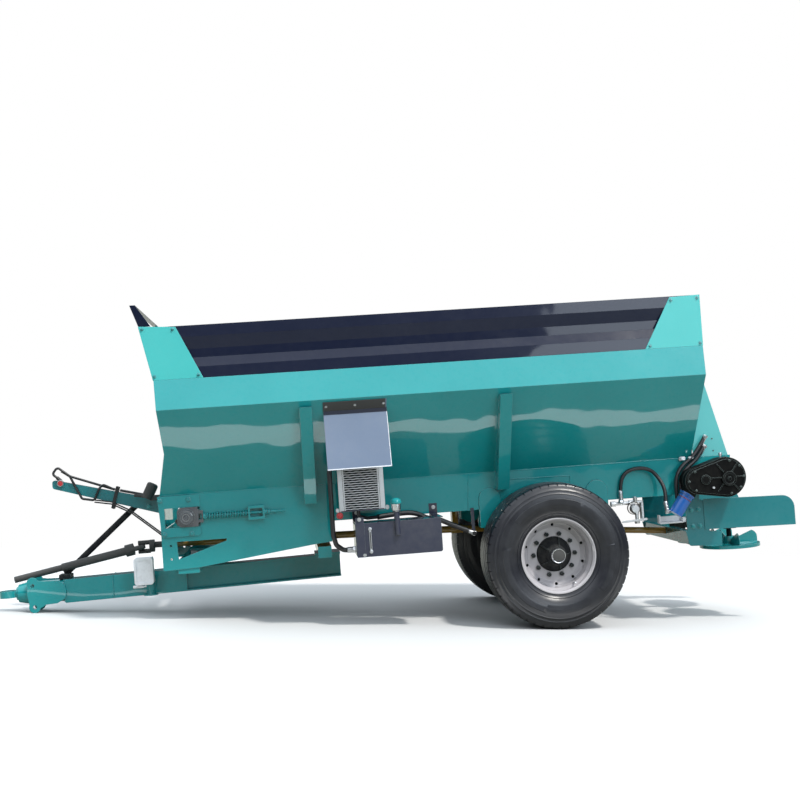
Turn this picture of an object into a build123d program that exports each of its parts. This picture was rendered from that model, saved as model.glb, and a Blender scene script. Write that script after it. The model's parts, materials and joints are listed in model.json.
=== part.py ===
"""Towed manure spreader with a chain floor and two spinner discs.

Everything is drawn in the machine's own level frame, in millimetres: X runs to
the rear, Y to the right-hand side, Z up, with the origin at the middle of the
axle. The finished pieces are then laid down as the machine parks, on its two
tyres and on the lower lobes of the drawbar's hitch plates, nose down.
"""

import os
from math import asin, atan2, cos, degrees, hypot, pi, radians, sin

from build123d import *

# ---------------------------------------------------------------- driving sizes
# Hopper body, seen from the end (half widths) and from the side
top_z = 1580.0                # upper edge of the steel body
top_half = 1020.0
crease_z = 1345.0             # fold between the upright band and the slope
crease_half = 1130.0
slope_z = 680.0               # foot of the slope
band_half = 620.0             # outer face of the lower side plates
band_z = 380.0                # lower edge of the side plates behind the drawbar
wall = 6.0                    # body sheet, measured level
front_top_x = -3050.0
front_crease_x = -3035.0
front_kink_x, front_kink_z = -3020.0, 1010.0
front_x = -3103.0             # front edge of the side plates
rear_top_x = 1300.0
rear_crease_x = 1270.0
rear_wall_x = 1262.0          # outer face of the rear wall

# Lower side plates with the drawbar cheeks
plate = 8.0
cheek_low_z = 80.0
cheek_toe_x, cheek_toe_z = -2830.0, 88.0
cheek_heel_x, cheek_heel_z = -1890.0, 203.0
cheek_end_x = -1750.0
frame_end_x = 1600.0

# Ribs on the slope
rib_width = 95.0
rib_centres_x = (-1903.0, -341.0)
rib_top_z, rib_top_stand = 1296.0, 67.5      # stand: how far the ribs stand off the sheet
rib_foot_z, rib_foot_stand = 535.0, 102.0

# Extension boards
board = 4.0
board_top_z = 1996.0
board_lean = 0.105            # inward run for each unit of height
board_inset = 11.0            # of the boards' foot from the body's edge
joint_gap = 1.0               # between the body's edge and the boards on it

# Conveyor
shaft_z = 496.0
front_shaft_x = -2897.0
rear_shaft_x = 1485.0
shaft_radius = 30.0
chain_pitch_radius = 75.0
chain_height = 30.0
chain_width = 24.0
chain_half_gauge = 480.0
slat_end_gap = 24.0           # between a slat's end and the side plate
slat_height, slat_width = 40.0, 56.0
slat_count = 30
seat_gap = 0.3                # between pieces that rest on or run beside others
run_fit = 0.1                 # round a shaft that turns or slides
shaft_overhang = 70.0         # of the shafts past the side plates
shaft_end = band_half + shaft_overhang

# Apron gearbox, outside the left side plate, and the hoses that hang beside it
gear_depth = 176.0
gear_y0 = -shaft_end
gear_y1 = gear_y0 - gear_depth
hose_y = -band_half - 30

# Running gear
tyre_radius = 575.0
tyre_width = 440.0
tyre_gap = 34.5               # between the side plates and the tyres
track = 2 * (band_half + tyre_gap) + tyre_width
rim_lip_radius = 299.0
rim_half_width = 178.0
rim_sheet = 9.0
disc_recess = 180.0           # wheel disc behind the outer rim lip
disc_sheet = 14.0
stud_circle_radius = 167.5
stud_count = 10
stud_radius = 11.0
nut_radius, nut_height = 18.5, 24.0
centre_hole_radius = 140.5
axle_box = 130.0
spindle_radius = 45.0
hanger_x = 447.0
hanger_half_width = 89.0
hanger_foot_z = 232.0
hanger_round_z = 462.0
spring_inset = 54.0           # of the springs behind the side plates
spring_half_y = band_half - spring_inset
spring_width = 76.0

# Drawbar, a beam that rises a little to the rear
bar_front_x, bar_rear_x = -3976.0, -1676.0
bar_front_z = -71.0           # height of its middle at the front end
bar_rise = 0.0187             # rise for each unit of length
bar_depth = 192.0
bar_width = 190.0
channel_start_x = -2972.0
hitch_plate = 22.0
lobe_x, lobe_z, lobe_radius = -4224.0, -181.0, 47.0
upper_lobe_x, upper_lobe_z = -4235.0, 18.0
lobe_hole_radius = 16.0
upper_hole_z = -4.0
eye_x, eye_z = -4456.0, -68.0
eye_radius, eye_bore_radius, eye_height = 70.0, 26.0, 57.0

# Spreading gear
disc_x, disc_half_gauge = 1655.0, 300.0
disc_radius = 252.0
disc_z = -94.0                # underside of the disc plate
disc_skirt = 20.0             # depth of its turned-down rim
disc_plate = 8.0
vane_height = 100.0
vane_count = 4
spin_tube_z = 82.0
spin_shaft_radius = 20.0
blade_x0, blade_x1 = 1336.0, 2115.0
blade_z0, blade_z1 = 62.0, 310.0
blade_round = 105.0           # upper rear corner

# Rear gate
gate_half, gate_z0, gate_z1 = 585.0, 612.0, 1108.0
gate_sheet = 8.0
gate_clear = 5.0
gate_travel = 380.0

# Parking jack
jack_x, jack_y = -3262.0, -195.0
jack_radius = 35.0
jack_leg_radius = 27.0
jack_top_z, jack_foot_z = 168.0, -146.0

# Oil cooler and tank, on the left
cooler_x0, cooler_x1 = -1688.0, -1330.0
cooler_z0, cooler_z1 = 472.0, 868.0
cooler_y = -band_half - 310
tank_x0, tank_x1 = -1580.0, -905.0
tank_z0, tank_z1 = 105.0, 368.0
tank_y0, tank_y1 = -band_half - 400, -band_half - 105

# ------------------------------------------------------------------ parking pose
# A tyre and a hitch-plate lobe both touch the floor: one angle does that.
lobe_reach = hypot(lobe_x, lobe_z)
park_angle = degrees(asin((tyre_radius - lobe_radius) / lobe_reach)
                     - atan2(-lobe_z, -lobe_x))
lay_sin, lay_cos = sin(radians(park_angle)), cos(radians(park_angle))
nose_x = (eye_x - eye_radius) * lay_cos - eye_z * lay_sin
tail_x = blade_x1 * lay_cos - blade_z0 * lay_sin
parked = Location((-(nose_x + tail_x) / 2, 0, tyre_radius), (0, -park_angle, 0))

os.makedirs("parts", exist_ok=True)


def save(builder, name):
    """Lay a finished piece down as the machine parks and write it."""
    builder.part.label = name
    piece = builder.part.moved(parked)
    piece.label = name
    export_step(piece, f"parts/{name}.step")


def side_plane(y):
    """Plane seen from the left: X to the rear, Z up, facing -Y, at this Y."""
    return Plane(origin=(0, y, 0), x_dir=(1, 0, 0), z_dir=(0, -1, 0))


def end_plane(x):
    """Plane seen from behind: Y to the right, Z up, facing +X, at this X."""
    return Plane(origin=(x, 0, 0), x_dir=(0, 1, 0), z_dir=(1, 0, 0))


def half_width(z):
    """Outer half width of the hopper body at this height."""
    if z >= crease_z:
        return crease_half + (top_half - crease_half) * (z - crease_z) / (top_z - crease_z)
    if z >= slope_z:
        return band_half + (crease_half - band_half) * (z - slope_z) / (crease_z - slope_z)
    return band_half


def bar_z(x):
    """Height of the drawbar's middle at this X."""
    return bar_front_z + bar_rise * (x - bar_front_x)


def board_half(z):
    """Outer half width of the extension boards' leaning face."""
    return top_half - board_inset - board_lean * (z - top_z)


def rod(start, end, radius):
    """Round bar between two points, joined to the part being built."""
    run = Vector(*end) - Vector(*start)
    with BuildSketch(Plane(origin=start, z_dir=run.normalized())) as round_face:
        Circle(radius)
    extrude(round_face.sketch, amount=run.length)


def bored(start, end, radius):
    """Round hole between two points, cut from the part being built."""
    run = Vector(*end) - Vector(*start)
    with BuildSketch(Plane(origin=start, z_dir=run.normalized())) as round_face:
        Circle(radius)
    extrude(round_face.sketch, amount=run.length, mode=Mode.SUBTRACT)


def block(x0, x1, y0, y1, z0, z1, mode=Mode.ADD):
    """Square block between two corners, joined to the part being built."""
    with BuildSketch(Plane.XY.offset(z0)) as foot:
        with Locations(((x0 + x1) / 2, (y0 + y1) / 2)):
            Rectangle(x1 - x0, y1 - y0)
    extrude(foot.sketch, amount=z1 - z0, mode=mode)


def slab(outline, y0, y1, mode=Mode.ADD):
    """Prism of an (x, z) outline between two Y planes."""
    with BuildSketch(side_plane(y1)) as face:
        with BuildLine():
            Polyline(*outline, close=True)
        make_face()
    extrude(face.sketch, amount=y1 - y0, mode=mode)


def section(outline, x0, x1, mode=Mode.ADD):
    """Prism of a (y, z) outline between two X planes."""
    with BuildSketch(end_plane(x0)) as face:
        with BuildLine():
            Polyline(*outline, close=True)
        make_face()
    extrude(face.sketch, amount=x1 - x0, mode=mode)


# ------------------------------------------------------------------- hopper body
front_edge = [(front_top_x, top_z), (front_crease_x, crease_z),
              (front_kink_x, front_kink_z), (front_x + 3, slope_z)]
rear_edge = [(rear_wall_x + 3, slope_z), (rear_crease_x, crease_z), (rear_top_x, top_z)]

with BuildPart() as side_panels:
    section([(-top_half, top_z), (-crease_half, crease_z), (-band_half, slope_z),
             (-band_half + wall, slope_z), (-crease_half + wall, crease_z),
             (-top_half + wall, top_z)], front_x - 10, rear_top_x + 10)
    slab(front_edge + rear_edge, -crease_half - 10, 0, mode=Mode.INTERSECT)
    root = wall / 2                       # the ribs are welded into the sheet
    for centre_x in rib_centres_x:
        rib_top_out = half_width(rib_top_z) + rib_top_stand
        section([(-rib_top_out, rib_top_z), (-band_half - rib_foot_stand, rib_foot_z),
                 (-band_half, rib_foot_z), (-band_half, slope_z),
                 (-band_half + root, slope_z + root),
                 (-half_width(rib_top_z) + root, rib_top_z)],
                centre_x - rib_width / 2, centre_x + rib_width / 2)
    mirror(about=Plane.XZ)
save(side_panels, "side_panels")

inner_outline = [(-top_half + wall, top_z), (-crease_half + wall, crease_z),
                 (-band_half + wall, slope_z), (-band_half + plate, slope_z)]
front_wall_foot_z = 400.0
with BuildPart() as front_wall:
    outer = front_edge + [(front_x + 3, front_wall_foot_z)]
    inner = [(x + wall, z) for x, z in reversed(outer)]
    slab(outer + inner, -crease_half, crease_half)
    left_half = inner_outline + [(-band_half + plate, front_wall_foot_z)]
    section(left_half + [(-y, z) for y, z in reversed(left_half)],
            front_x - 20, front_x + 120, mode=Mode.INTERSECT)
save(front_wall, "front_wall")

gate_guide_z0, gate_guide_z1 = gate_z0 - 6, top_z - 65
guide_web = 6.0
gate_x = rear_wall_x + gate_clear
lip_x = gate_x + gate_sheet + gate_clear
beam_z0, beam_z1, beam_depth = top_z - 60, top_z - 4, 38.0
floor_top_z = shaft_z + chain_pitch_radius - chain_height / 2 - seat_gap
floor_sheet = 6.0
with BuildPart() as rear_wall:
    left_half = inner_outline + [(-band_half + plate, floor_top_z + seat_gap)]
    section(left_half + [(-y, z) for y, z in reversed(left_half)],
            rear_wall_x - wall, rear_wall_x)
    block(rear_wall_x - wall - 1, rear_wall_x + 1, -gate_half - 12, gate_half + 12,
          floor_top_z - 61, gate_z1 - 50, mode=Mode.SUBTRACT)
    # gate guides: a web and a lip on each side, and the beam above them
    for side in (-1, 1):
        web_y = side * (gate_half + gate_clear + guide_web / 2)
        block(rear_wall_x, lip_x + guide_web, web_y - guide_web / 2, web_y + guide_web / 2,
              gate_guide_z0, gate_guide_z1)
        lip_y = side * (gate_half - 10)
        block(lip_x, lip_x + guide_web, lip_y - 18, lip_y + 18, gate_guide_z0, gate_guide_z1)
    block(rear_wall_x, rear_wall_x + beam_depth, -970, 970, beam_z0, beam_z1)
save(rear_wall, "rear_wall")

# ------------------------------------------------------------- side plates, floor
takeup_z0, takeup_z1 = 419.0, 575.0       # slot that the front bearing slides in
takeup_x0, takeup_x1 = -3068.0, -2790.0
with BuildPart() as frame_sides:
    slab([(front_x - 3, slope_z), (front_x - 3, cheek_low_z), (cheek_toe_x, cheek_toe_z),
          (cheek_heel_x, cheek_heel_z), (cheek_end_x, cheek_heel_z + 12),
          (cheek_end_x, band_z), (rear_wall_x + 40, band_z), (frame_end_x - 40, band_z + 12),
          (frame_end_x, band_z + 50), (frame_end_x, slope_z)],
         -band_half, -band_half + plate)
    slab([(takeup_x0, takeup_z0), (takeup_x1, takeup_z0), (takeup_x1, takeup_z1),
          (takeup_x0, takeup_z1)], -band_half - 1, -band_half + plate + 1, mode=Mode.SUBTRACT)
    slab([(-2986, 305), (-2593, 303), (-2593, 288), (-2979, 165)],
         -band_half - 1, -band_half + plate + 1, mode=Mode.SUBTRACT)
    for hole_z in (277, 170):
        bored((-3036, -band_half - 1, hole_z), (-3036, -band_half + plate + 1, hole_z), 9)
    bored((rear_shaft_x, -band_half - 1, shaft_z), (rear_shaft_x, -band_half + plate + 1, shaft_z),
          shaft_radius + 6)
    mirror(about=Plane.XZ)
save(frame_sides, "frame_sides")

inside = band_half - plate                # between the side plates
slat_length = 2 * (inside - slat_end_gap)
floor_x0, floor_x1 = front_shaft_x + 90, rear_shaft_x - 80
return_top_z = shaft_z - chain_pitch_radius + chain_height / 2
crossmember_count = 8
with BuildPart() as floor:
    block(floor_x0, floor_x1, -inside, inside, floor_top_z - floor_sheet, floor_top_z)
    pitch = (floor_x1 - floor_x0 - 160) / (crossmember_count - 1)
    for index in range(crossmember_count):
        x = floor_x0 + 80 + index * pitch
        block(x - 30, x + 30, -inside, inside, return_top_z + 20, floor_top_z - floor_sheet)
save(floor, "floor")

# --------------------------------------------------------------- chain conveyor
run_length = rear_shaft_x - front_shaft_x
loop_length = 2 * run_length + 2 * pi * chain_pitch_radius


def on_loop(distance):
    """Point and direction (x, z, degrees) at a distance round the chain loop."""
    distance = distance % loop_length
    turn = pi * chain_pitch_radius
    if distance < run_length:
        return front_shaft_x + distance, shaft_z + chain_pitch_radius, 0.0
    distance -= run_length
    if distance < turn:
        angle = distance / chain_pitch_radius
        return (rear_shaft_x + chain_pitch_radius * sin(angle),
                shaft_z + chain_pitch_radius * cos(angle), -degrees(angle))
    distance -= turn
    if distance < run_length:
        return rear_shaft_x - distance, shaft_z - chain_pitch_radius, 180.0
    angle = (distance - run_length) / chain_pitch_radius
    return (front_shaft_x - chain_pitch_radius * sin(angle),
            shaft_z - chain_pitch_radius * cos(angle), 180.0 - degrees(angle))


with BuildPart() as apron:
    mid_x = (front_shaft_x + rear_shaft_x) / 2
    for side in (-1, 1):
        with BuildSketch(side_plane(side * chain_half_gauge + chain_width / 2)):
            with Locations((mid_x, shaft_z)):
                SlotOverall(run_length + 2 * chain_pitch_radius + chain_height,
                            2 * chain_pitch_radius + chain_height)
                SlotOverall(run_length + 2 * chain_pitch_radius - chain_height,
                            2 * chain_pitch_radius - chain_height, mode=Mode.SUBTRACT)
        extrude(amount=chain_width)
    # slats: bars that stand on the chain, flush with its inner side
    for index in range(slat_count):
        x, z, angle = on_loop((index + 0.5) * loop_length / slat_count)
        with Locations(Location((x, 0, z), (0, -angle, 0))):
            with Locations((0, 0, slat_height / 2 - chain_height / 2)):
                Box(slat_width, slat_length, slat_height)
save(apron, "apron_chain")

wheel_radius = chain_pitch_radius - chain_height / 2 - seat_gap
# (x, left end, right end)
shaft_table = [(front_shaft_x, -shaft_end, shaft_end), (rear_shaft_x, gear_y1 - 4, shaft_end)]
with BuildPart() as conveyor_shafts:
    for x, left_y, right_y in shaft_table:
        rod((x, left_y, shaft_z), (x, right_y, shaft_z), shaft_radius)
        for side in (-1, 1):
            y = side * chain_half_gauge
            rod((x, y - 20, shaft_z), (x, y + 20, shaft_z), wheel_radius)
save(conveyor_shafts, "conveyor_shafts")

# ------------------------------------------------------------------ take-up gear
guide = 14.0                              # thickness of the C-shaped guide plates
guide_x0, guide_x1 = -3120.0, -2786.0
guide_z0, guide_z1 = 345.0, 674.0
with BuildPart() as takeup_plates:
    with BuildSketch(side_plane(-band_half)):
        with BuildLine():
            Polyline((guide_x1, takeup_z1), (takeup_x0, takeup_z1), (takeup_x0, takeup_z0),
                     (guide_x1, takeup_z0), (guide_x1, guide_z0), (guide_x0 + 22, guide_z0),
                     (guide_x0, guide_z1), (guide_x1, guide_z1), close=True)
        make_face()
        fillet(vertices().sort_by(Axis.X)[-4:].sort_by(Axis.Y)[0:2], 34)
    extrude(amount=guide)
    mirror(about=Plane.XZ)
save(takeup_plates, "takeup_plates")

bearing_x0, bearing_x1 = front_shaft_x - 74, front_shaft_x + 92
bearing_y0, bearing_y1 = band_half - plate, band_half + 52
tail_x1 = front_shaft_x + 132
rod_end_x = -2112.0
takeup_rod_radius = 10.0
with BuildPart() as shaft_bearings:
    # front: cast housings that slide in the guide plates, with a tail for the rod
    z0, z1 = takeup_z0 + seat_gap, takeup_z1 - seat_gap
    block(bearing_x0, bearing_x1, -bearing_y1 + 18, -bearing_y0, z0, z1)
    fillet(edges().filter_by(Axis.Y).group_by(Axis.X)[0], 40)
    rod((front_shaft_x, -bearing_y1, shaft_z), (front_shaft_x, -bearing_y0, shaft_z), 68)
    block(bearing_x1, tail_x1, -bearing_y1 + 24, -band_half - seat_gap,
          shaft_z - 48, shaft_z + 48)
    block(bearing_x1 + 4, tail_x1 - 10, -bearing_y1 + 20, -band_half + 1,
          shaft_z - 24, shaft_z + 24, mode=Mode.SUBTRACT)
    bored((front_shaft_x, -800, shaft_z), (front_shaft_x, -500, shaft_z), shaft_radius + 0.1)
    # rear: flange bearings on the outside of the side plates
    rod((rear_shaft_x, -band_half - seat_gap, shaft_z),
        (rear_shaft_x, -band_half - 18, shaft_z), 82)
    rod((rear_shaft_x, -band_half - 18, shaft_z), (rear_shaft_x, -band_half - 44, shaft_z), 56)
    bored((rear_shaft_x, -700, shaft_z), (rear_shaft_x, -600, shaft_z), shaft_radius + 0.1)
    mirror(about=Plane.XZ)
save(shaft_bearings, "shaft_bearings")

seat_x0, seat_x1 = -2407.0, -2276.0
takeup_y = -band_half - 30
with BuildPart() as takeup_rods:
    # the seats welded to the side plates, which the springs push against
    block(seat_x0, seat_x1, takeup_y - 26, -band_half, shaft_z - 56, shaft_z + 56)
    block(seat_x0 + 16, seat_x1 - 16, takeup_y - 27, -band_half + 1, shaft_z - 34, shaft_z + 34,
          mode=Mode.SUBTRACT)
    # the rods that pass through them, each with a thrust collar and two nuts
    rod((tail_x1 + seat_gap, takeup_y, shaft_z), (rod_end_x, takeup_y, shaft_z), takeup_rod_radius)
    for nut_x in (seat_x1, seat_x1 + 24):
        rod((nut_x, takeup_y, shaft_z), (nut_x + 18, takeup_y, shaft_z), 22)
    rod((tail_x1 + 2, takeup_y, shaft_z), (tail_x1 + 22, takeup_y, shaft_z), 24)
    mirror(about=Plane.XZ)
save(takeup_rods, "takeup_rods")

coil_count = 13
coil_wire_radius = 4.6
coil_radius = 23.5
spring_x0, spring_x1 = tail_x1 + 22.3, seat_x0 - 0.3
with BuildPart() as takeup_springs:
    coil_pitch = (spring_x1 - spring_x0) / coil_count
    with BuildSketch(side_plane(takeup_y)):
        with BuildLine():
            points = [(spring_x0, shaft_z + takeup_rod_radius + 4)]
            for index in range(coil_count):
                x = spring_x0 + index * coil_pitch
                points += [(x, shaft_z + coil_radius - coil_wire_radius),
                           (x + coil_pitch / 2, shaft_z + coil_radius + coil_wire_radius)]
            points += [(spring_x1, shaft_z + coil_radius - coil_wire_radius),
                       (spring_x1, shaft_z + takeup_rod_radius + 4)]
            Polyline(*points, close=True)
        make_face()
    revolve(axis=Axis((0, takeup_y, shaft_z), (1, 0, 0)))
    mirror(about=Plane.XZ)
save(takeup_springs, "takeup_springs")

# -------------------------------------------------------------- extension boards
# (distance inward from the leaning face, height) down one side of a board
board_folds = [(0, top_z + joint_gap), (0, 1670), (34, 1742), (27, 1811), (0, 1908),
               (0, board_top_z)]
with BuildPart() as extension_boards:
    face = [(-board_half(z) + inward, z) for inward, z in board_folds]
    back = [(y + board, z) for y, z in reversed(face)]
    section(face + back, front_x - 60, rear_top_x + 30)
    slab([(front_top_x + 2, top_z), (front_top_x - 88, board_top_z + 5),
          (rear_top_x + 14, board_top_z + 5), (rear_top_x, top_z)],
         -top_half - 10, -top_half / 2, mode=Mode.INTERSECT)
    mirror(about=Plane.XZ)
save(extension_boards, "extension_boards")

# corner gussets: (x, z) outlines, front then rear
gusset_outlines = [
    [(-3148, 2007), (-2862, 1990), (-2669, top_z + joint_gap), (-3055, top_z + joint_gap)],
    [(1071, 1989), (831, top_z + joint_gap), (1305, top_z + joint_gap), (1321, 1997)],
]
gusset = 5.0
gusset_low, gusset_high = top_z, 2020.0
with BuildPart() as corner_gussets:
    for outline in gusset_outlines:
        slab(outline, -top_half - 30, -top_half / 2)
    section([(-board_half(gusset_low) - seat_gap, gusset_low),
             (-board_half(gusset_low) - gusset, gusset_low),
             (-board_half(gusset_high) - gusset, gusset_high),
             (-board_half(gusset_high) - seat_gap, gusset_high)],
            front_x - 200, rear_top_x + 200, mode=Mode.INTERSECT)
    mirror(about=Plane.XZ)
save(corner_gussets, "corner_gussets")

with BuildPart() as end_boards:
    lean_x = -93.0
    slab([(front_top_x - 5, top_z + joint_gap), (front_top_x - 5 + lean_x, 2007),
          (front_top_x - 1 + lean_x, 2007), (front_top_x - 1, top_z + joint_gap)],
         -top_half, top_half)
    slab([(rear_top_x + 1, top_z + joint_gap), (rear_top_x + 17, board_top_z),
          (rear_top_x + 21, board_top_z), (rear_top_x + 5, top_z + joint_gap)],
         -top_half, top_half)
    low, high = gusset_low, gusset_high
    section([(-board_half(low), low), (board_half(low), low), (board_half(high), high),
             (-board_half(high), high)], front_x - 300, rear_top_x + 200, mode=Mode.INTERSECT)
save(end_boards, "end_boards")

guard_half, guard_sheet = top_half - 90, 6.0
with BuildPart() as front_guard:
    slab([(-3148, 2008), (-3208, 2180), (-3165, 2180), (-3055, 2008)], -guard_half, guard_half)
    block(-3300, -3000, -guard_half + guard_sheet, guard_half - guard_sheet,
          2000, 2180 - guard_sheet, mode=Mode.SUBTRACT)
save(front_guard, "front_guard")

# ---------------------------------------------------------------------- rear end
hood_top_z = 1400.0
hood_x0 = lip_x + guide_web + seat_gap
cheek_foot_x, cheek_top_x = 1582.0, 1416.0
hood_sheet = 6.0
hood_lean = 0.085             # inward run of the cheeks for each unit of height
hood_back_z = 1010.0
hood_rise = hood_top_z - slope_z


def cheek_half(z):
    """Outer half width of the hood's cheeks at this height."""
    return band_half - hood_lean * (z - slope_z)


with BuildPart() as hood_back:
    back_x = cheek_foot_x + (cheek_top_x - cheek_foot_x) * (hood_back_z - slope_z) / hood_rise
    slab([(back_x, hood_back_z), (cheek_top_x, hood_top_z), (cheek_top_x - hood_sheet, hood_top_z),
          (back_x - hood_sheet, hood_back_z)], -band_half, band_half)
    low, high = cheek_half(hood_back_z) - 2, cheek_half(hood_top_z) - 2
    section([(-low, hood_back_z), (-high, hood_top_z), (high, hood_top_z), (low, hood_back_z)],
            cheek_top_x - 100, cheek_foot_x, mode=Mode.INTERSECT)
with BuildPart() as rear_hood:
    slab([(hood_x0, slope_z), (cheek_foot_x, slope_z), (cheek_top_x, hood_top_z),
          (hood_x0, hood_top_z)], -band_half, 0)
    section([(-cheek_half(slope_z), slope_z), (-cheek_half(hood_top_z), hood_top_z),
             (-cheek_half(hood_top_z) + hood_sheet, hood_top_z),
             (-cheek_half(slope_z) + hood_sheet, slope_z)], hood_x0 - 1, cheek_foot_x + 1,
            mode=Mode.INTERSECT)
    mirror(about=Plane.XZ)
    add(hood_back.part)
save(rear_hood, "rear_hood")

cylinder_x = 1345.0
gate_stiff_half = 530.0       # clear of the guides' lips
cylinder_radius, piston_rod_radius = 30.0, 16.0
rod_eye_z = gate_z0 + 38
barrel_z0 = rod_eye_z + gate_travel + 36
with BuildPart() as gate:
    block(gate_x, gate_x + gate_sheet, -gate_half, gate_half, gate_z0, gate_z1)
    for z in (gate_z0 + 10, gate_z1 - 50):
        block(gate_x + gate_sheet, gate_x + gate_sheet + 26, -gate_stiff_half, gate_stiff_half,
              z, z + 40)
    for y in (-300, 300):
        block(gate_x + gate_sheet, gate_x + gate_sheet + 20, y - 20, y + 20,
              gate_z0 + 50, gate_z1 - 50)
    block(gate_x + gate_sheet + 26, cylinder_x + 24, -34, -20, gate_z0 + 8, gate_z0 + 68)
    block(gate_x + gate_sheet + 26, cylinder_x + 24, 20, 34, gate_z0 + 8, gate_z0 + 68)
    rod((cylinder_x, -34, rod_eye_z), (cylinder_x, 34, rod_eye_z), 10)
save(gate, "gate")

with BuildPart() as gate_rod:
    rod((cylinder_x, 0, rod_eye_z + 14), (cylinder_x, 0, barrel_z0 + 22), piston_rod_radius)
    rod((cylinder_x, -18, rod_eye_z), (cylinder_x, 18, rod_eye_z), 24)
    bored((cylinder_x, -40, rod_eye_z), (cylinder_x, 40, rod_eye_z), 10 + seat_gap)
save(gate_rod, "gate_rod")

with BuildPart() as gate_cylinder:
    rod((cylinder_x, 0, barrel_z0), (cylinder_x, 0, beam_z0 - 14), cylinder_radius)
    bored((cylinder_x, 0, barrel_z0 - 1), (cylinder_x, 0, beam_z0 - 30),
          piston_rod_radius + run_fit)
    block(rear_wall_x + beam_depth - 20, cylinder_x + 24, -30, 30, beam_z0 - 14, beam_z0)
save(gate_cylinder, "gate_cylinder")

# ---------------------------------------------------------------- spreading gear
leg_x0, leg_x1 = 1187.0, 1308.0
line_tail_z = 31.0            # height of the line shaft where it meets the drive
with BuildPart() as spinner_frame:
    with BuildSketch(side_plane(-band_half)):
        with BuildLine():
            Polyline((leg_x0, 470), (leg_x0, 75), (1172, 75), (1198, -50), (1471, -63),
                     (1480, 55), (blade_x0 + 40, 60), (blade_x0 + 40, 300), (leg_x1, 330),
                     (leg_x1, 470), close=True)
        make_face()
        fillet(vertices().sort_by(Axis.Y)[1], 22)
    extrude(amount=10)
    mirror(about=Plane.XZ)
    block(1190, 1255, -band_half, band_half, -36, 70)
    bored((1180, 0, line_tail_z + 5), (1260, 0, line_tail_z - 1), 29)
save(spinner_frame, "spinner_frame")

with BuildPart() as spinner_drive:
    block(1255, 1350, -75, 75, -20, 20 + spin_tube_z)
    rod((1350, 0, spin_tube_z), (disc_x, 0, spin_tube_z), 36)
    rod((disc_x, -disc_half_gauge, spin_tube_z), (disc_x, disc_half_gauge, spin_tube_z), 34)
    for y in (-disc_half_gauge, 0, disc_half_gauge):
        block(disc_x - 50, disc_x + 50, y - 50, y + 50, spin_tube_z - 40, spin_tube_z + 38)
    for side in (-1, 1):
        y = side * disc_half_gauge
        rod((disc_x, y, spin_tube_z - 40), (disc_x, y, disc_z + 22), spin_shaft_radius)
save(spinner_drive, "spinner_drive")

hub_radius, hub_height = 48.0, 60.0
vane_sheet, vane_round = 6.0, 62.0
vane_tip = disc_radius - 6
for side, name in ((-1, "spinner_left"), (1, "spinner_right")):
    y = side * disc_half_gauge
    with BuildPart() as spinner:
        rod((disc_x, y, disc_z - disc_skirt), (disc_x, y, disc_z + disc_plate), disc_radius)
        bored((disc_x, y, disc_z - disc_skirt - 1), (disc_x, y, disc_z), disc_radius - disc_plate)
        rod((disc_x, y, disc_z), (disc_x, y, disc_z + disc_plate + hub_height), hub_radius)
        vane_z = disc_z + disc_plate
        for index in range(vane_count):
            turn = index * 360 / vane_count
            across, along = cos(radians(turn)), sin(radians(turn))
            with BuildSketch(Plane(origin=(disc_x, y, 0), x_dir=(across, along, 0),
                                   z_dir=(along, -across, 0))):
                # low by the hub, high and rounded at the rim
                with BuildLine():
                    low_edge = Line((hub_radius - 4, vane_z), (vane_tip, vane_z))
                    tip_edge = Line(low_edge @ 1, (vane_tip, vane_z + vane_height - vane_round))
                    corner = JernArc(tip_edge @ 1, (0, 1), vane_round, 75)
                    Polyline(corner @ 1, (hub_radius - 4, vane_z + 38), low_edge @ 0)
                make_face()
            extrude(amount=vane_sheet / 2, both=True)
        bored((disc_x, y, disc_z - disc_skirt), (disc_x, y, disc_z + 100),
              spin_shaft_radius + run_fit)
    save(spinner, name)

with BuildPart() as deflector_blades:
    with BuildSketch(side_plane(-band_half - 10 - seat_gap)):
        with BuildLine():
            Polyline((blade_x0, blade_z0 + 16), (blade_x1, blade_z0), (blade_x1, blade_z1),
                     (blade_x0, blade_z1 + 20), close=True)
        make_face()
        fillet(vertices().sort_by(Axis.X)[-2:].sort_by(Axis.Y)[-1], blade_round)
    extrude(amount=6)
    mirror(about=Plane.XZ)
save(deflector_blades, "deflector_blades")

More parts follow.
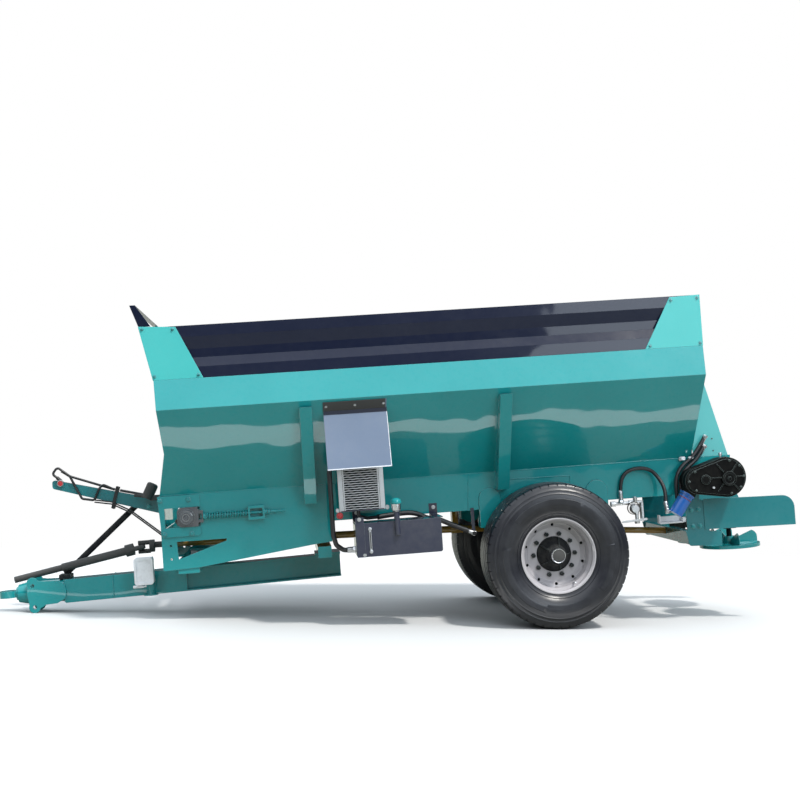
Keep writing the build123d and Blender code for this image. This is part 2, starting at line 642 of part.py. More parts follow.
# apron gearbox: a pear-shaped casting on the left end of the rear shaft
big_x, big_z, big_r = 1478.0, 508.0, 162.0
small_x, small_z, small_r = 1236.0, 492.0, 106.0
motor_axis = Vector(-0.588, 0, -0.809)
motor_start = Vector(small_x, gear_y0 - 85, small_z)
motor_boss, motor_reach, motor_radius = 126.0, 318.0, 58.0
with BuildPart() as apron_gearbox:
    with BuildSketch(side_plane(gear_y0)):
        with Locations((big_x, big_z)):
            Circle(big_r)
        with Locations((small_x, small_z)):
            Circle(small_r)
        make_hull()
    extrude(amount=gear_y0 - gear_y1 - 20)
    with BuildSketch(side_plane(gear_y1 + 20)):
        with Locations((big_x, big_z)):
            Circle(big_r - 16)
        with Locations((small_x, small_z)):
            Circle(small_r - 16)
        make_hull()
    extrude(amount=20)
    rod((rear_shaft_x, gear_y1, shaft_z), (rear_shaft_x, gear_y1 - 22, shaft_z), 58)
    rod((small_x + 56, gear_y1, 500), (small_x + 56, gear_y1 - 12, 500), 40)
    rod(motor_start, motor_start + motor_axis * motor_boss, 64)
    bored((rear_shaft_x, gear_y0 + 1, shaft_z), (rear_shaft_x, gear_y1 - 6, shaft_z),
          shaft_radius + 0.1)
    rod((rear_shaft_x, gear_y0, shaft_z), (rear_shaft_x, -band_half - 44 - seat_gap, shaft_z), 46)
    bored((rear_shaft_x, gear_y0 - 1, shaft_z), (rear_shaft_x, -600, shaft_z), shaft_radius + 0.1)
save(apron_gearbox, "apron_gearbox")

with BuildPart() as apron_motor:
    rod(motor_start + motor_axis * (motor_boss + seat_gap),
        motor_start + motor_axis * (motor_boss + 16), 66)
    rod(motor_start + motor_axis * (motor_boss + 16), motor_start + motor_axis * motor_reach,
        motor_radius)
save(apron_motor, "apron_motor")

# ------------------------------------------------------------------ running gear
half_track = track / 2
disc_face = half_track + rim_half_width - disc_recess       # outer face of the disc
with BuildPart() as axle:
    block(-axle_box / 2, axle_box / 2, -disc_face + 230, disc_face - 230,
          -axle_box / 2, axle_box / 2)
    for side in (-1, 1):
        rod((0, side * (disc_face - 230), 0), (0, side * (disc_face + 10), 0), spindle_radius)
save(axle, "axle")


def wheel_profile(side, points):
    """Closed (radius, distance outward from the tyre's middle) outline, one side."""
    return [(radius, side * (half_track + outward)) for radius, outward in points]


# (radius, distance outward from the tyre's middle)
tyre_points = [(287, -160), (310, -172), (360, -205), (430, -220), (500, -213), (552, -192),
               (570, -165), (575, -90), (575, 90), (570, 165), (552, 192), (500, 213),
               (430, 220), (360, 205), (310, 172), (287, 160)]
rim_out = [(299, 178), (299, 170), (286, 164), (286, 118), (268, 96), (262, 20), (262, -70),
           (286, -118), (286, -164), (299, -170), (299, -178)]
rim_in = [(290, -178), (277, -164), (277, -122), (253, -76), (253, 16), (259, 100),
          (277, 126), (277, 164), (290, 178)]
disc_points = [(centre_hole_radius, -2), (214, -2), (240, 14), (256, 14), (256, 0),
               (244, 0), (218, -2 - disc_sheet), (centre_hole_radius, -2 - disc_sheet)]
hub_points = [(0, 178), (50, 178), (58, 170), (60, 146), (74, 130), (82, 84), (112, 40),
              (136, 10), (136, -16), (198, -16), (198, -34), (120, -34), (100, -60),
              (100, -150), (0, -150)]
drum_points = [(120, -34), (206, -34), (206, -176), (196, -176), (196, -46), (120, -46)]

for side, end in ((-1, "left"), (1, "right")):
    wheel_axis = Axis((0, 0, 0), (0, 1, 0))
    wheel_plane = Plane(origin=(0, 0, 0), x_dir=(0, 0, 1), z_dir=(-1, 0, 0))
    with BuildPart() as tyre:
        with BuildSketch(wheel_plane):
            with BuildLine():
                Polyline(*wheel_profile(side, tyre_points), close=True)
            make_face()
        revolve(axis=wheel_axis)
    save(tyre, f"tyre_{end}")

    with BuildPart() as rim:
        for outline in (rim_out + rim_in, disc_points):
            with BuildSketch(wheel_plane):
                with BuildLine():
                    Polyline(*wheel_profile(side, outline), close=True)
                make_face()
            revolve(axis=wheel_axis)
        face_plane = Plane(origin=(0, side * (half_track + 40), 0), x_dir=(1, 0, 0),
                           z_dir=(0, side, 0))
        with BuildSketch(face_plane):
            with PolarLocations(stud_circle_radius, stud_count, start_angle=108):
                Circle(stud_radius + 2)
            with PolarLocations(236, stud_count, start_angle=90):
                Circle(12)
        extrude(amount=-80, mode=Mode.SUBTRACT)
    save(rim, f"rim_{end}")

    with BuildPart() as hub:
        with BuildSketch(wheel_plane):
            with BuildLine():
                Polyline(*wheel_profile(side, hub_points), close=True)
            make_face()
            with BuildLine():
                Polyline(*wheel_profile(side, drum_points), close=True)
            make_face()
        revolve(axis=wheel_axis)
        disc_plane = Plane(origin=(0, side * (half_track - 2), 0), x_dir=(1, 0, 0),
                           z_dir=(0, side, 0))
        with BuildSketch(disc_plane.offset(-20)):
            with PolarLocations(stud_circle_radius, stud_count, start_angle=108):
                Circle(stud_radius)
        extrude(amount=20 + nut_height + 10)
        with BuildSketch(disc_plane.offset(seat_gap)):
            with PolarLocations(stud_circle_radius, stud_count, start_angle=108):
                RegularPolygon(nut_radius, 6)
        extrude(amount=nut_height)
        bored((0, side * (half_track - 151), 0), (0, side * (disc_face + 10.3), 0),
              spindle_radius + run_fit)
    save(hub, f"hub_{end}")

hanger = 12.0
with BuildPart() as spring_hangers:
    for x in (-hanger_x, hanger_x):
        for y1 in (-band_half, -spring_half_y + spring_width / 2 + 2 + hanger):
            top = hanger_round_z if y1 == -band_half else band_z - hanger_half_width
            with BuildSketch(side_plane(y1)):
                with BuildLine():
                    Polyline((x - hanger_half_width, top), (x - hanger_half_width, hanger_foot_z),
                             (x + hanger_half_width * 0.4, hanger_foot_z),
                             (x + hanger_half_width, hanger_foot_z + 50),
                             (x + hanger_half_width, top), close=True)
                make_face()
                with Locations((x, top)):
                    Circle(hanger_half_width)
            extrude(amount=hanger)
        pin_z = hanger_foot_z + 42
        rod((x, -band_half - hanger, pin_z), (x, -spring_half_y + spring_width / 2 + 16, pin_z), 14)
    mirror(about=Plane.XZ)
save(spring_hangers, "spring_hangers")

leaf = 14.0
leaf_count = 4
leaf_drop = 124.0
with BuildPart() as leaf_springs:
    pin_z = hanger_foot_z + 42
    bend = (hanger_x ** 2 + leaf_drop ** 2) / (2 * leaf_drop)
    centre_z = pin_z - leaf_drop + bend
    reach = degrees(asin(hanger_x / bend))
    with BuildSketch(side_plane(-spring_half_y + spring_width / 2)):
        for index in range(leaf_count):
            sweep_half = reach * (1 - index * 0.2)
            inner_r = bend - leaf / 2 + index * leaf
            with BuildLine():
                outer_arc = CenterArc((0, centre_z), inner_r + leaf, 270 - sweep_half, 2 * sweep_half)
                inner_arc = CenterArc((0, centre_z), inner_r, 270 - sweep_half, 2 * sweep_half)
                Line(outer_arc @ 0, inner_arc @ 0)
                Line(outer_arc @ 1, inner_arc @ 1)
            make_face()
        with Locations((-hanger_x, pin_z), (hanger_x, pin_z)):
            Circle(28)
            Circle(14 + seat_gap, mode=Mode.SUBTRACT)
    extrude(amount=spring_width)
    mirror(about=Plane.XZ)
save(leaf_springs, "leaf_springs")

leaf_low_z = hanger_foot_z + 42 - leaf_drop - leaf / 2 - (leaf_count - 1) * leaf
leaf_top_z = hanger_foot_z + 42 - leaf_drop + leaf / 2
with BuildPart() as spring_clamps:
    y0, y1 = -spring_half_y - spring_width / 2, -spring_half_y + spring_width / 2
    half_axle = axle_box / 2
    block(-62, 62, y0, y1, half_axle + seat_gap, leaf_low_z - seat_gap - 1)
    block(-90, 90, y0 - 24, y1 + 24, leaf_top_z + 5, leaf_top_z + 22)
    block(-90, 90, y0 - 24, y1 + 24, -half_axle - 18, -half_axle - seat_gap)
    for x in (-78, 78):
        for y in (y0 - 12, y1 + 12):
            rod((x, y, -half_axle - 10), (x, y, leaf_top_z + 10), 9)
    mirror(about=Plane.XZ)
save(spring_clamps, "spring_clamps")

# ----------------------------------------------------------------------- drawbar
half_depth = bar_depth / 2
half_bar = bar_width / 2
bar_web = 12.0
with BuildPart() as drawbar:
    slab([(bar_front_x, bar_z(bar_front_x) - half_depth), (bar_rear_x, bar_z(bar_rear_x) - half_depth),
          (bar_rear_x, bar_z(bar_rear_x) + half_depth), (bar_front_x, bar_z(bar_front_x) + half_depth)],
         -half_bar, half_bar)
    for side in (-1, 1):
        y0, y1 = sorted((side * half_bar + side, side * (half_bar - 70)))
        slab([(channel_start_x, bar_z(channel_start_x) - half_depth + bar_web),
              (bar_rear_x + 1, bar_z(bar_rear_x) - half_depth + bar_web),
              (bar_rear_x + 1, bar_z(bar_rear_x) + half_depth - bar_web),
              (channel_start_x, bar_z(channel_start_x) + half_depth - bar_web)],
             y0, y1, mode=Mode.SUBTRACT)
save(drawbar, "drawbar")

with BuildPart() as hitch_plates:
    with BuildSketch(side_plane(-half_bar - seat_gap)):
        with BuildLine():
            Polyline((-4282, -70), (lobe_x - 40, lobe_z), (lobe_x + 46, lobe_z - 12),
                     (-4131, -166), (-4040, -162), (-3975, -128), (-3962, -70), (-3975, -14),
                     (-4040, 24), (-4151, 28), (upper_lobe_x + 42, upper_lobe_z + 18),
                     (upper_lobe_x - 40, upper_lobe_z), close=True)
        make_face()
        with Locations((lobe_x, lobe_z)):
            Circle(lobe_radius)
        with Locations((upper_lobe_x, upper_lobe_z)):
            Circle(lobe_radius)
        with Locations((lobe_x, lobe_z), (upper_lobe_x, upper_hole_z)):
            Circle(lobe_hole_radius, mode=Mode.SUBTRACT)
    extrude(amount=hitch_plate)
    mirror(about=Plane.XZ)
save(hitch_plates, "hitch_plates")

with BuildPart() as hitch_eye:
    with BuildSketch(Plane.XY.offset(eye_z - eye_height / 2)):
        with Locations((eye_x, 0)):
            Circle(eye_radius)
        with Locations(((eye_x - 4340) / 2, 0)):
            Rectangle(eye_x * -1 - 4340, 80)
    extrude(amount=eye_height)
    # the swivel head: a stepped, tapering turning that runs back into the beam
    with BuildSketch(side_plane(0)):
        with BuildLine():
            Polyline((-4385, eye_z), (-4385, eye_z + 52), (-4366, eye_z + 60), (-4366, eye_z + 74),
                     (-4284, eye_z + 92), (-3976.5, eye_z + 92), (-3976.5, eye_z), close=True)
        make_face()
    revolve(axis=Axis((0, 0, eye_z), (1, 0, 0)))
    bored((eye_x, 0, eye_z - 60), (eye_x, 0, eye_z + 60), eye_bore_radius)
    bored((upper_lobe_x, -100, upper_hole_z), (upper_lobe_x, 100, upper_hole_z),
          lobe_hole_radius)
save(hitch_eye, "hitch_eye")

with BuildPart() as drawbar_mounts:
    # front: a cross box between the cheeks that stands on the beam
    front_low = bar_z(-2820) + half_depth + seat_gap
    block(-2990, -2820, -inside, inside, front_low, 150)
    # rear: a flange plate on the beam under a cross box
    rear_low = bar_z(bar_rear_x) + half_depth + seat_gap
    block(-1890, bar_rear_x, -150, 150, rear_low, rear_low + 18)
    block(-1870, -1760, -inside, inside, rear_low + 18, 178)
    # the upright front cross plate that carries the input bearing
    block(-3090, -3082, -inside, inside, 120, front_wall_foot_z)
    rod((-3120, 0, 252), (-3040, 0, 252), 62)
    bored((-3130, 0, 252), (-3030, 0, 252), 26)
save(drawbar_mounts, "drawbar_mounts")

# ------------------------------------------------------------------- drive lines
pto_front = Vector(-4397, 0, 47)
pto_joint = Vector(-3340, 0, 240)
pto_run = (pto_joint - pto_front).normalized()
pto_socket_radius, pto_socket_depth = 17.5, 70.0
with BuildPart() as pto_shaft:
    rod(pto_front, pto_front + pto_run * 400, 27)
    rod(pto_front + pto_run * 400, pto_front + pto_run * 940, 34)
    rod(pto_front + pto_run * 940, pto_front + pto_run * 1010, 50)
    for side in (-1, 1):
        # the fork ears: one pair on the tube, one on the input stub
        ear = pto_joint + Vector(0, side * 36, 0)
        rod(ear - pto_run * 76, ear + pto_run * 26, 19)
    rod(pto_joint - Vector(0, 50, 0), pto_joint + Vector(0, 50, 0), 14)
    rod(pto_joint - Vector(0, 0, 50), pto_joint + Vector(0, 0, 50), 14)
    for side in (-1, 1):
        ear = pto_joint + Vector(0, 0, side * 36)
        rod(ear - Vector(26, 0, 0), ear + Vector(76, 0, 0), 19)
    bored(pto_front - pto_run, pto_front + pto_run * pto_socket_depth, pto_socket_radius)
    rod((pto_joint.X + 70, 0, 245), (pto_joint.X + 110, 0, 245), 52)
    rod((pto_joint.X + 110, 0, 252), (-3050, 0, 252), 25.5)
save(pto_shaft, "pto_shaft")

line_mid = (-600, 0, 190)
line_tail = (1252.4, 0, line_tail_z)
with BuildPart() as line_shaft:
    rod((-3039, 0, 252), (-700, 0, 190), 30)
    rod((-700, 0, 190), (-600, 0, 190), 38)
    rod(line_mid, line_tail, 27)
    block(-690, -640, -50, 50, 190, return_top_z - chain_height - 60)
save(line_shaft, "line_shaft")

# -------------------------------------------------------- hose arm and its strut
arm_half = 25.0
arm_root_x = front_x + 3 - seat_gap
with BuildPart() as hose_arm:
    with BuildSketch(side_plane(arm_half)):
        with BuildLine():
            Polyline((-4040, 858), (-4040, 784), (arm_root_x, 494), (arm_root_x, 614),
                     close=True)
        make_face()
        fillet(vertices().sort_by(Axis.X)[0:2], 22)
    extrude(amount=2 * arm_half)
save(hose_arm, "hose_arm")

strut_y = arm_half + 40
with BuildPart() as arm_strut:
    rod((-3370, strut_y, 590), (-3990, strut_y, 58), 25)
    block(-4028, -3930, -45, strut_y + 25, bar_z(-3930) + half_depth + seat_gap, 62)
    rod((-3387, arm_half + seat_gap, 580), (-3387, strut_y + 34, 580), 14)
save(arm_strut, "arm_strut")

# ------------------------------------------------------------------------- jack
with BuildPart() as jack_tube:
    rod((jack_x, jack_y, jack_foot_z + 40), (jack_x, jack_y, jack_top_z), jack_radius)
    bored((jack_x, jack_y, jack_foot_z + 39), (jack_x, jack_y, jack_top_z - 10),
          jack_leg_radius + run_fit)
    block(jack_x - 30, jack_x + 30, jack_y + 33, -half_bar - seat_gap, -100, 20)
    block(-3350, jack_x, jack_y - 36, jack_y - 30, 20, 110)
save(jack_tube, "jack_tube")

with BuildPart() as jack_leg:
    rod((jack_x, jack_y, jack_foot_z + 10), (jack_x, jack_y, jack_top_z - 16), jack_leg_radius)
    rod((jack_x, jack_y, jack_foot_z), (jack_x, jack_y, jack_foot_z + 10), 60)
save(jack_leg, "jack_leg")

case_x0, case_x1 = -3375.0, -3220.0
case_y0, case_y1 = jack_y - 128, jack_y - 36.3
with BuildPart() as jack_case:
    block(case_x0, case_x1, case_y0, case_y1, -47, 174)
    fillet(edges().filter_by(Axis.Y), 24)
    with BuildSketch(side_plane(case_y0)):
        with Locations(((case_x0 + case_x1) / 2, 63)):
            RectangleRounded(case_x1 - case_x0 - 40, 181, 14)
    extrude(amount=-8, mode=Mode.SUBTRACT)
    rod((-3292, case_y0 + 40, -40), (-3292, case_y0 + 40, -62), 7)
    rod((-3285, case_y0 + 40, -62), (-3311, case_y0 + 40, -62), 7)
    rod((-3310, case_y0 + 40, -62), (-3392, case_y0 + 40, -62), 12)
save(jack_case, "jack_case")

# ---------------------------------------------------------------- cooler and tank
fin_count = 22
with BuildPart() as cooler_core:
    y0, y1 = cooler_y - 30, cooler_y + 30
    block(cooler_x0, cooler_x0 + 46, y0, y1, cooler_z0, cooler_z1)
    block(cooler_x1 - 46, cooler_x1, y0, y1, cooler_z0, cooler_z1)
    block(cooler_x0 + 46, cooler_x1 - 46, y1 - 8, y1, cooler_z0, cooler_z1)
    fin_pitch = (cooler_z1 - cooler_z0) / fin_count
    for index in range(fin_count):
        z = cooler_z0 + (index + 0.25) * fin_pitch
        block(cooler_x0 + 46, cooler_x1 - 46, y0 + 6, y1 - 8, z, z + fin_pitch / 2)
save(cooler_core, "cooler_core")

cover_x0, cover_x1 = -1768.0, -1275.0
strap_z0, strap_z1 = 1257.0, 1323.0       # the strip that is bolted to the body side
flap_foot_out, flap_foot_z = 581.0, 800.0 # of the hanging flap, out from the side plate
cover_sheet = 4.0
with BuildPart() as cooler_cover:
    strap_low, strap_high = half_width(strap_z0) + seat_gap, half_width(strap_z1) + seat_gap
    foot = band_half + flap_foot_out
    section([(-strap_high, strap_z1), (-strap_low, strap_z0), (-foot + cover_sheet, flap_foot_z),
             (-foot, flap_foot_z + 1), (-strap_low - cover_sheet - 1, strap_z0 + 3),
             (-strap_high - cover_sheet, strap_z1)], cover_x0, cover_x1)
save(cooler_cover, "cooler_cover")

filler_x, filler_y = -1250.0, tank_y0 - 8
with BuildPart() as oil_tank:
    block(tank_x0, tank_x1, tank_y0, tank_y1, tank_z0, tank_z1)
    fillet(edges().filter_by(Axis.Y), 18)
    # the filler pipe is cut slantwise into the tank's front, its cap is a domed turning
    rod((filler_x, filler_y, tank_z0 + 157), (filler_x, filler_y, tank_z1 + 110), 22)
    with BuildSketch(side_plane(filler_y)):
        with BuildLine():
            Polyline((filler_x, tank_z1 + 96), (filler_x + 34, tank_z1 + 96),
                     (filler_x + 36, tank_z1 + 138), (filler_x + 28, tank_z1 + 160),
                     (filler_x + 14, tank_z1 + 172), (filler_x, tank_z1 + 175), close=True)
        make_face()
    revolve(axis=Axis((filler_x, filler_y, 0), (0, 0, 1)))
save(oil_tank, "oil_tank")

strap_width = 66.0
return_end_x, return_end_z = -597.0, 196.0
with BuildPart() as oil_brackets:
    # the tray that the cooler stands on
    block(cooler_x0 + 10, cooler_x1 - 10, cooler_y - 45, -band_half, cooler_z0 - 8.3, cooler_z0 - seat_gap)
    # two hangers from the side plate over the tank
    for x in (tank_x0 + 5, tank_x1 - 45):
        block(x, x + strap_width, -band_half - 6, -band_half, band_z - 60, band_z + 82)
        block(x, x + strap_width, tank_y0 + 40, -band_half, tank_z1 + seat_gap, tank_z1 + 6)
    # the flat strap down the front of the tank
    block(tank_x0 + 5, tank_x0 + 5 + strap_width, tank_y0 - 6, tank_y0 - seat_gap,
          tank_z0, tank_z1 + 46)
    block(tank_x0 + 5, tank_x0 + 5 + strap_width, tank_y0 - 6, tank_y0 + 41,
          tank_z1 + seat_gap, tank_z1 + 6)
    # the strip behind the tank that carries the end of the return hose
    block(return_end_x - 13, return_end_x + 13, -band_half - 12, -band_half - seat_gap,
          return_end_z - 20, band_z + 20)
save(oil_brackets, "oil_brackets")

# ------------------------------------------------------------------------- hoses


def hose(points, bend, radius):
    """Round hose along a route of straights joined by bends of this radius."""
    with BuildLine() as route:
        FilletPolyline(*points, radius=bend)
    run = route.wires()[0]
    with BuildSketch(Plane(origin=run @ 0, z_dir=run % 0)) as mouth:
        Circle(radius)
    sweep(mouth.sketch, path=run)


arm_side_y = -arm_half - 12
with BuildPart() as arm_hoses:
    # over the top of the arm, down across its side, under it, up again and over the tip
    hose([(-3103.4, -13, 630), (-3200, -13, 656), (-3540, -13, 744), (-3625, -13, 790),
          (-3650, arm_side_y - 4, 764),
          (-3700, arm_side_y - 4, 664), (-3800, arm_side_y - 4, 684),
          (-3890, arm_side_y - 4, 880), (-3990, -30, 962), (-4034, -36, 905),
          (-3985, -40, 868)], 24, 10)
    # the plug that hangs at the tip, with its cap
    rod((-3996, -40, 876), (-3962, -40, 842), 15)
    rod((-3966, -26, 826), (-3966, -62, 826), 24)
    # second line, on the other half of the arm's top
    hose([(-3103.4, 13, 630), (-3200, 13, 656), (-3560, 13, 750), (-3840, 13, 856), (-3900, 0, 880),
          (-3960, -20, 926)], 30, 10)
    # two thin cables from the cheeks to the underside of the arm
    for lift in (0, 18):
        hose([(-3090.4, -84, 310 + lift), (-3130, -84, 310 + lift), (-3401, -48, 537 + lift),
              (-3560, -38, 622 + lift), (-3700, -36, 648 + lift)], 30, 6)
    # strap round the arm
    slab([(-3490, 758), (-3514, 768), (-3566, 588), (-3542, 578)],
         -arm_half - 16, arm_half + 16)
    slab([(-3480, 752), (-3524, 762), (-3576, 594), (-3532, 584)],
         -arm_half - seat_gap, arm_half + seat_gap, mode=Mode.SUBTRACT)
save(arm_hoses, "arm_hoses")

with BuildPart() as line_filter:
    block(-3232, arm_root_x, -100, -arm_half - seat_gap, 628, 672)
    rod((-3262, -76, 650), (-3200, -76, 770), 47)
    fillet(edges().filter_by(GeomType.CIRCLE).sort_by(Axis.Z)[-1], 20)
    rod((-3280, -76, 668), (-3364, -76, 684), 13)
save(line_filter, "line_filter")

with BuildPart() as oil_hoses:
    # big suction hose from the cooler's side round to the end of the tank
    tank_mid = tank_y0 + 140
    hose([(cooler_x0 - seat_gap, cooler_y, 826), (-1748, cooler_y, 826),
          (-1750, cooler_y + 5, 290), (-1730, cooler_y + 30, 206), (-1674, tank_mid, 160),
          (tank_x0 - seat_gap, tank_mid, 160)], 50, 19)
    # return hose from under the cooler, over the tank and down behind it
    hose([(-1542, cooler_y - 2, cooler_z0 - 9), (-1542, cooler_y - 2, 420),
          (-1470, cooler_y + 55, 396), (-1383, cooler_y + 120, 395), (-1177, hose_y - 50, 409),
          (-1060, hose_y - 22, 396), (-968, hose_y - 10, 343), (-880, hose_y - 5, 332),
          (-814, hose_y, 297), (return_end_x, hose_y, return_end_z)], 34, 13)
    rod((return_end_x, hose_y - 24, return_end_z),
        (return_end_x, -band_half - 12 - seat_gap, return_end_z), 17)
save(oil_hoses, "oil_hoses")

with BuildPart() as rear_hoses:
    # steel manifold under the side plate
    block(612, 812, -band_half - 20, -band_half + 52, band_z - 62, band_z - seat_gap)
    rod((764, hose_y + 20, band_z - 40), (764, hose_y - 16, band_z - 40), 16)
    rod((764, hose_y - 6, band_z - 50), (764, hose_y - 6, band_z + 30), 13)
    # the arched hose to the motor, with its two end fittings
    hose([(637, hose_y, band_z - 50), (637, hose_y, 448), (692, hose_y - 6, 617),
          (912, hose_y - 40, 617), (967, hose_y - 90, 412), (967, hose_y - 125, 345)], 125, 14)
    rod((637, hose_y, band_z - 30), (637, hose_y, 408), 18)
    elbow = Vector(967, hose_y - 125, 310)
    rod(elbow - Vector(0, 0, 8), elbow + Vector(0, 0, 48), 18)
    rod(elbow, (1009.3, hose_y - 125, 279.3), 11)
    # two lines from the side plate, round the gearbox, to the hood
    for lift, top_x, top_z in ((0, 1385, 842), (1, 1374, 763)):
        shift = 26 * lift
        start = (1097 + shift, hose_y - 50 + shift, 394)
        end = (top_x, hose_y, top_z)
        hose([start, (1080 + shift, hose_y - 50 + shift, 505),
              (1150 + shift, hose_y - 36 + 0.6 * shift, 605 - shift),
              (1310 + shift, hose_y - 10 + 0.2 * shift, 742 - 2.4 * shift), end], 45, 10)
        rod((start[0], start[1] - 12, 394), (start[0], -band_half - seat_gap, 394), 12)
        rod((top_x, hose_y - 14, top_z), (top_x, -cheek_half(top_z) - 1.5, top_z), 14)
save(rear_hoses, "rear_hoses")

print(f"park_angle {park_angle:.5f}")
print(f"shift {parked.position.X:.4f} {parked.position.Z:.4f}")
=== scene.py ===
"""Manure spreader: finishes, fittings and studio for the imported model.

Pieces are drawn in metres in the machine's own level frame: X runs to the
rear, Y to the right-hand side, Z up, with the origin at the middle of the
axle. Each finished mesh is then laid down as the machine parks.
"""

import json
import math

import bmesh
import bpy
from mathutils import Matrix, Vector


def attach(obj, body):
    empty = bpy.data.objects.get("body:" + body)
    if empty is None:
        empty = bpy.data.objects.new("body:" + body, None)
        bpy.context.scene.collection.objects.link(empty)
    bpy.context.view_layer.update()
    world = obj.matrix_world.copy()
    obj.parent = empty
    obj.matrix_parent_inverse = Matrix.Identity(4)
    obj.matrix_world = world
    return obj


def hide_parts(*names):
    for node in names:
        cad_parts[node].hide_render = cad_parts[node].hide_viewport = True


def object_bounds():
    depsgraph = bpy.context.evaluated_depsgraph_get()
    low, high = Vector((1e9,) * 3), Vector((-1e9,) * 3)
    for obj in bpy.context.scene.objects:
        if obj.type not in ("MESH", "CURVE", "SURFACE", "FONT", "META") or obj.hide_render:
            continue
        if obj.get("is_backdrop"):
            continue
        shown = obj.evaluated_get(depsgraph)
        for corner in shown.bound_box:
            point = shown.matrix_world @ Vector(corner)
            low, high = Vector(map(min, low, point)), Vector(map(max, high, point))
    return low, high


bl_info = {
    "name": "Manure spreader",
    "version": (1, 0, 0),
    "blender": (4, 5, 0),
    "location": "3D View > Sidebar > Spreader",
    "description": "Finishes, fittings and studio for a towed manure spreader",
    "category": "Object",
}

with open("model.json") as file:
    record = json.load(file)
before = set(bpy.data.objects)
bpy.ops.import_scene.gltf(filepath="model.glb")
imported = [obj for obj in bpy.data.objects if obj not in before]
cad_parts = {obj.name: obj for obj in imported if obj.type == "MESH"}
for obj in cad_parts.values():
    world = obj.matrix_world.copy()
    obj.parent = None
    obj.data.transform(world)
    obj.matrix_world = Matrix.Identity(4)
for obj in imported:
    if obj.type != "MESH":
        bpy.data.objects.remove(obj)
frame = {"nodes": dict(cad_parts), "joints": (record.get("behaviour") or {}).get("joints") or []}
cad_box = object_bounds()

joints = {joint["name"]: joint for joint in frame["joints"]}
up = Vector(joints["gate_lift"]["axis"])
right = Vector((0.0, 1.0, 0.0))
park = Matrix((right.cross(up), right, up)).transposed().to_4x4()
park.translation = Vector(joints["wheel_left_spin"]["pos_m"]) * Vector((1, 0, 1))

# places on the machine, in its level frame
SIDES = ((-1, "left"), (1, "right"))
LEFT, UP = (0, -1, 0), (0, 0, 1)
HALF_TRACK = 0.8745                 # middle of a tyre
SIDE_Y = 0.620                      # outer face of the lower side plates
SLOPE_Z = 0.680                     # where the sloping sheet leaves them
CREASE_Z, CREASE_Y = 1.345, 1.130
TOP_Z, TOP_Y = 1.580, 1.020
TOP_LEAN = 0.105                    # the extension boards lean in by this much per metre
FRONT_SHAFT_X, REAR_SHAFT_X, SHAFT_Z = -2.897, 1.485, 0.496
HANGERS_X = (-0.447, 0.447)
WHEEL_END = (1.478, 0.508)          # middles of the gearbox's two round ends, X and Z
PINION_END = (1.236, 0.492)
GEARBOX_Y = -0.866                  # its outer face
TANK_Y = -1.020                     # outer face of the oil tank


def linear(code):
    """Linear red, green, blue, alpha of an sRGB hex colour."""
    channels = [int(code[i:i + 2], 16) / 255 for i in (1, 3, 5)]
    return [c / 12.92 if c <= 0.04045 else ((c + 0.055) / 1.055) ** 2.4 for c in channels] + [1.0]


def add(tree, kind, links=(), **settings):
    """Add a node with its own settings and inputs: values, outputs or a node's first output."""
    made = tree.nodes.new(kind)
    for key, value in settings.items():
        setattr(made, key, value)
    for key, value in dict(links).items():
        if isinstance(value, bpy.types.Node):
            value = value.outputs[0]
        if isinstance(value, bpy.types.NodeSocket):
            tree.links.new(value, made.inputs[key])
        else:
            made.inputs[key].default_value = value
    return made


# ---------------------------------------------------------------- settings


def colour(name, description, code):
    """Colour property with its default from a hex value."""
    return bpy.props.FloatVectorProperty(
        name=name, description=description, subtype="COLOR", size=4, min=0.0, max=1.0,
        default=linear(code))


def length(name, description, default):
    """Length property in metres."""
    return bpy.props.FloatProperty(
        name=name, description=description, unit="LENGTH", min=0.0, precision=4, default=default)


class SpreaderColours(bpy.types.PropertyGroup):
    """Colours of the finishes"""

    body: colour("Body", "Enamel on the hopper, frame and drawbar", "#178E93")
    boards: colour("Boards", "Enamel on the pressed extension boards", "#181E33")
    # painted reflection: the cover's own darker paint, drawn paler and bluer for the sky that its
    # slanted flap reflects
    cover: colour("Cooler cover", "Enamel on the sheet that hangs over the cooler", "#65758E")
    tank: colour("Tank", "Enamel on the oil tank and its straps", "#2C3044")
    under: colour("Running gear", "Enamel on the axle and the springs", "#1E2024")
    primer: colour("Line shaft", "Primer on the tube of the line shaft", "#94701E")
    # painted sunlight: the gussets and end boards carry the body's own enamel, drawn in this paler
    # copy where the sun falls on them
    light: colour("Sunlit parts", "Paler enamel on the gussets and the end boards", "#48B2B2")
    # painted sunlight: the rear hood carries the body's own enamel, drawn in this paler copy for
    # the sun on its cheeks and roof
    hood: colour("Rear hood", "Enamel on the cheeks and the roof of the rear hood", "#4CA8AA")
    # painted shade: the spinner frame, blades and hose arm carry the body's own enamel, drawn in
    # this darker copy for the shade they lie in
    shade: colour("Shaded parts", "Enamel on the spinner frame, blades and hose arm", "#10727A")
    casting: colour("Gearbox", "Enamel on the gearbox casting", "#050608")
    motor: colour("Motor", "Enamel on the hydraulic motor", "#1A55A0")
    rim: colour("Rims", "Silver lacquer on the wheels", "#AEABB0")
    tyre: colour("Tyres", "Tread rubber", "#0F111B")
    guard: colour("Shaft guard", "Moulded guard round the drive shaft", "#101426")
    case: colour("Jack case", "Moulded case on the parking jack", "#EEF0F6")
    floor: colour("Floor", "Studio floor", "#C6C7C9")


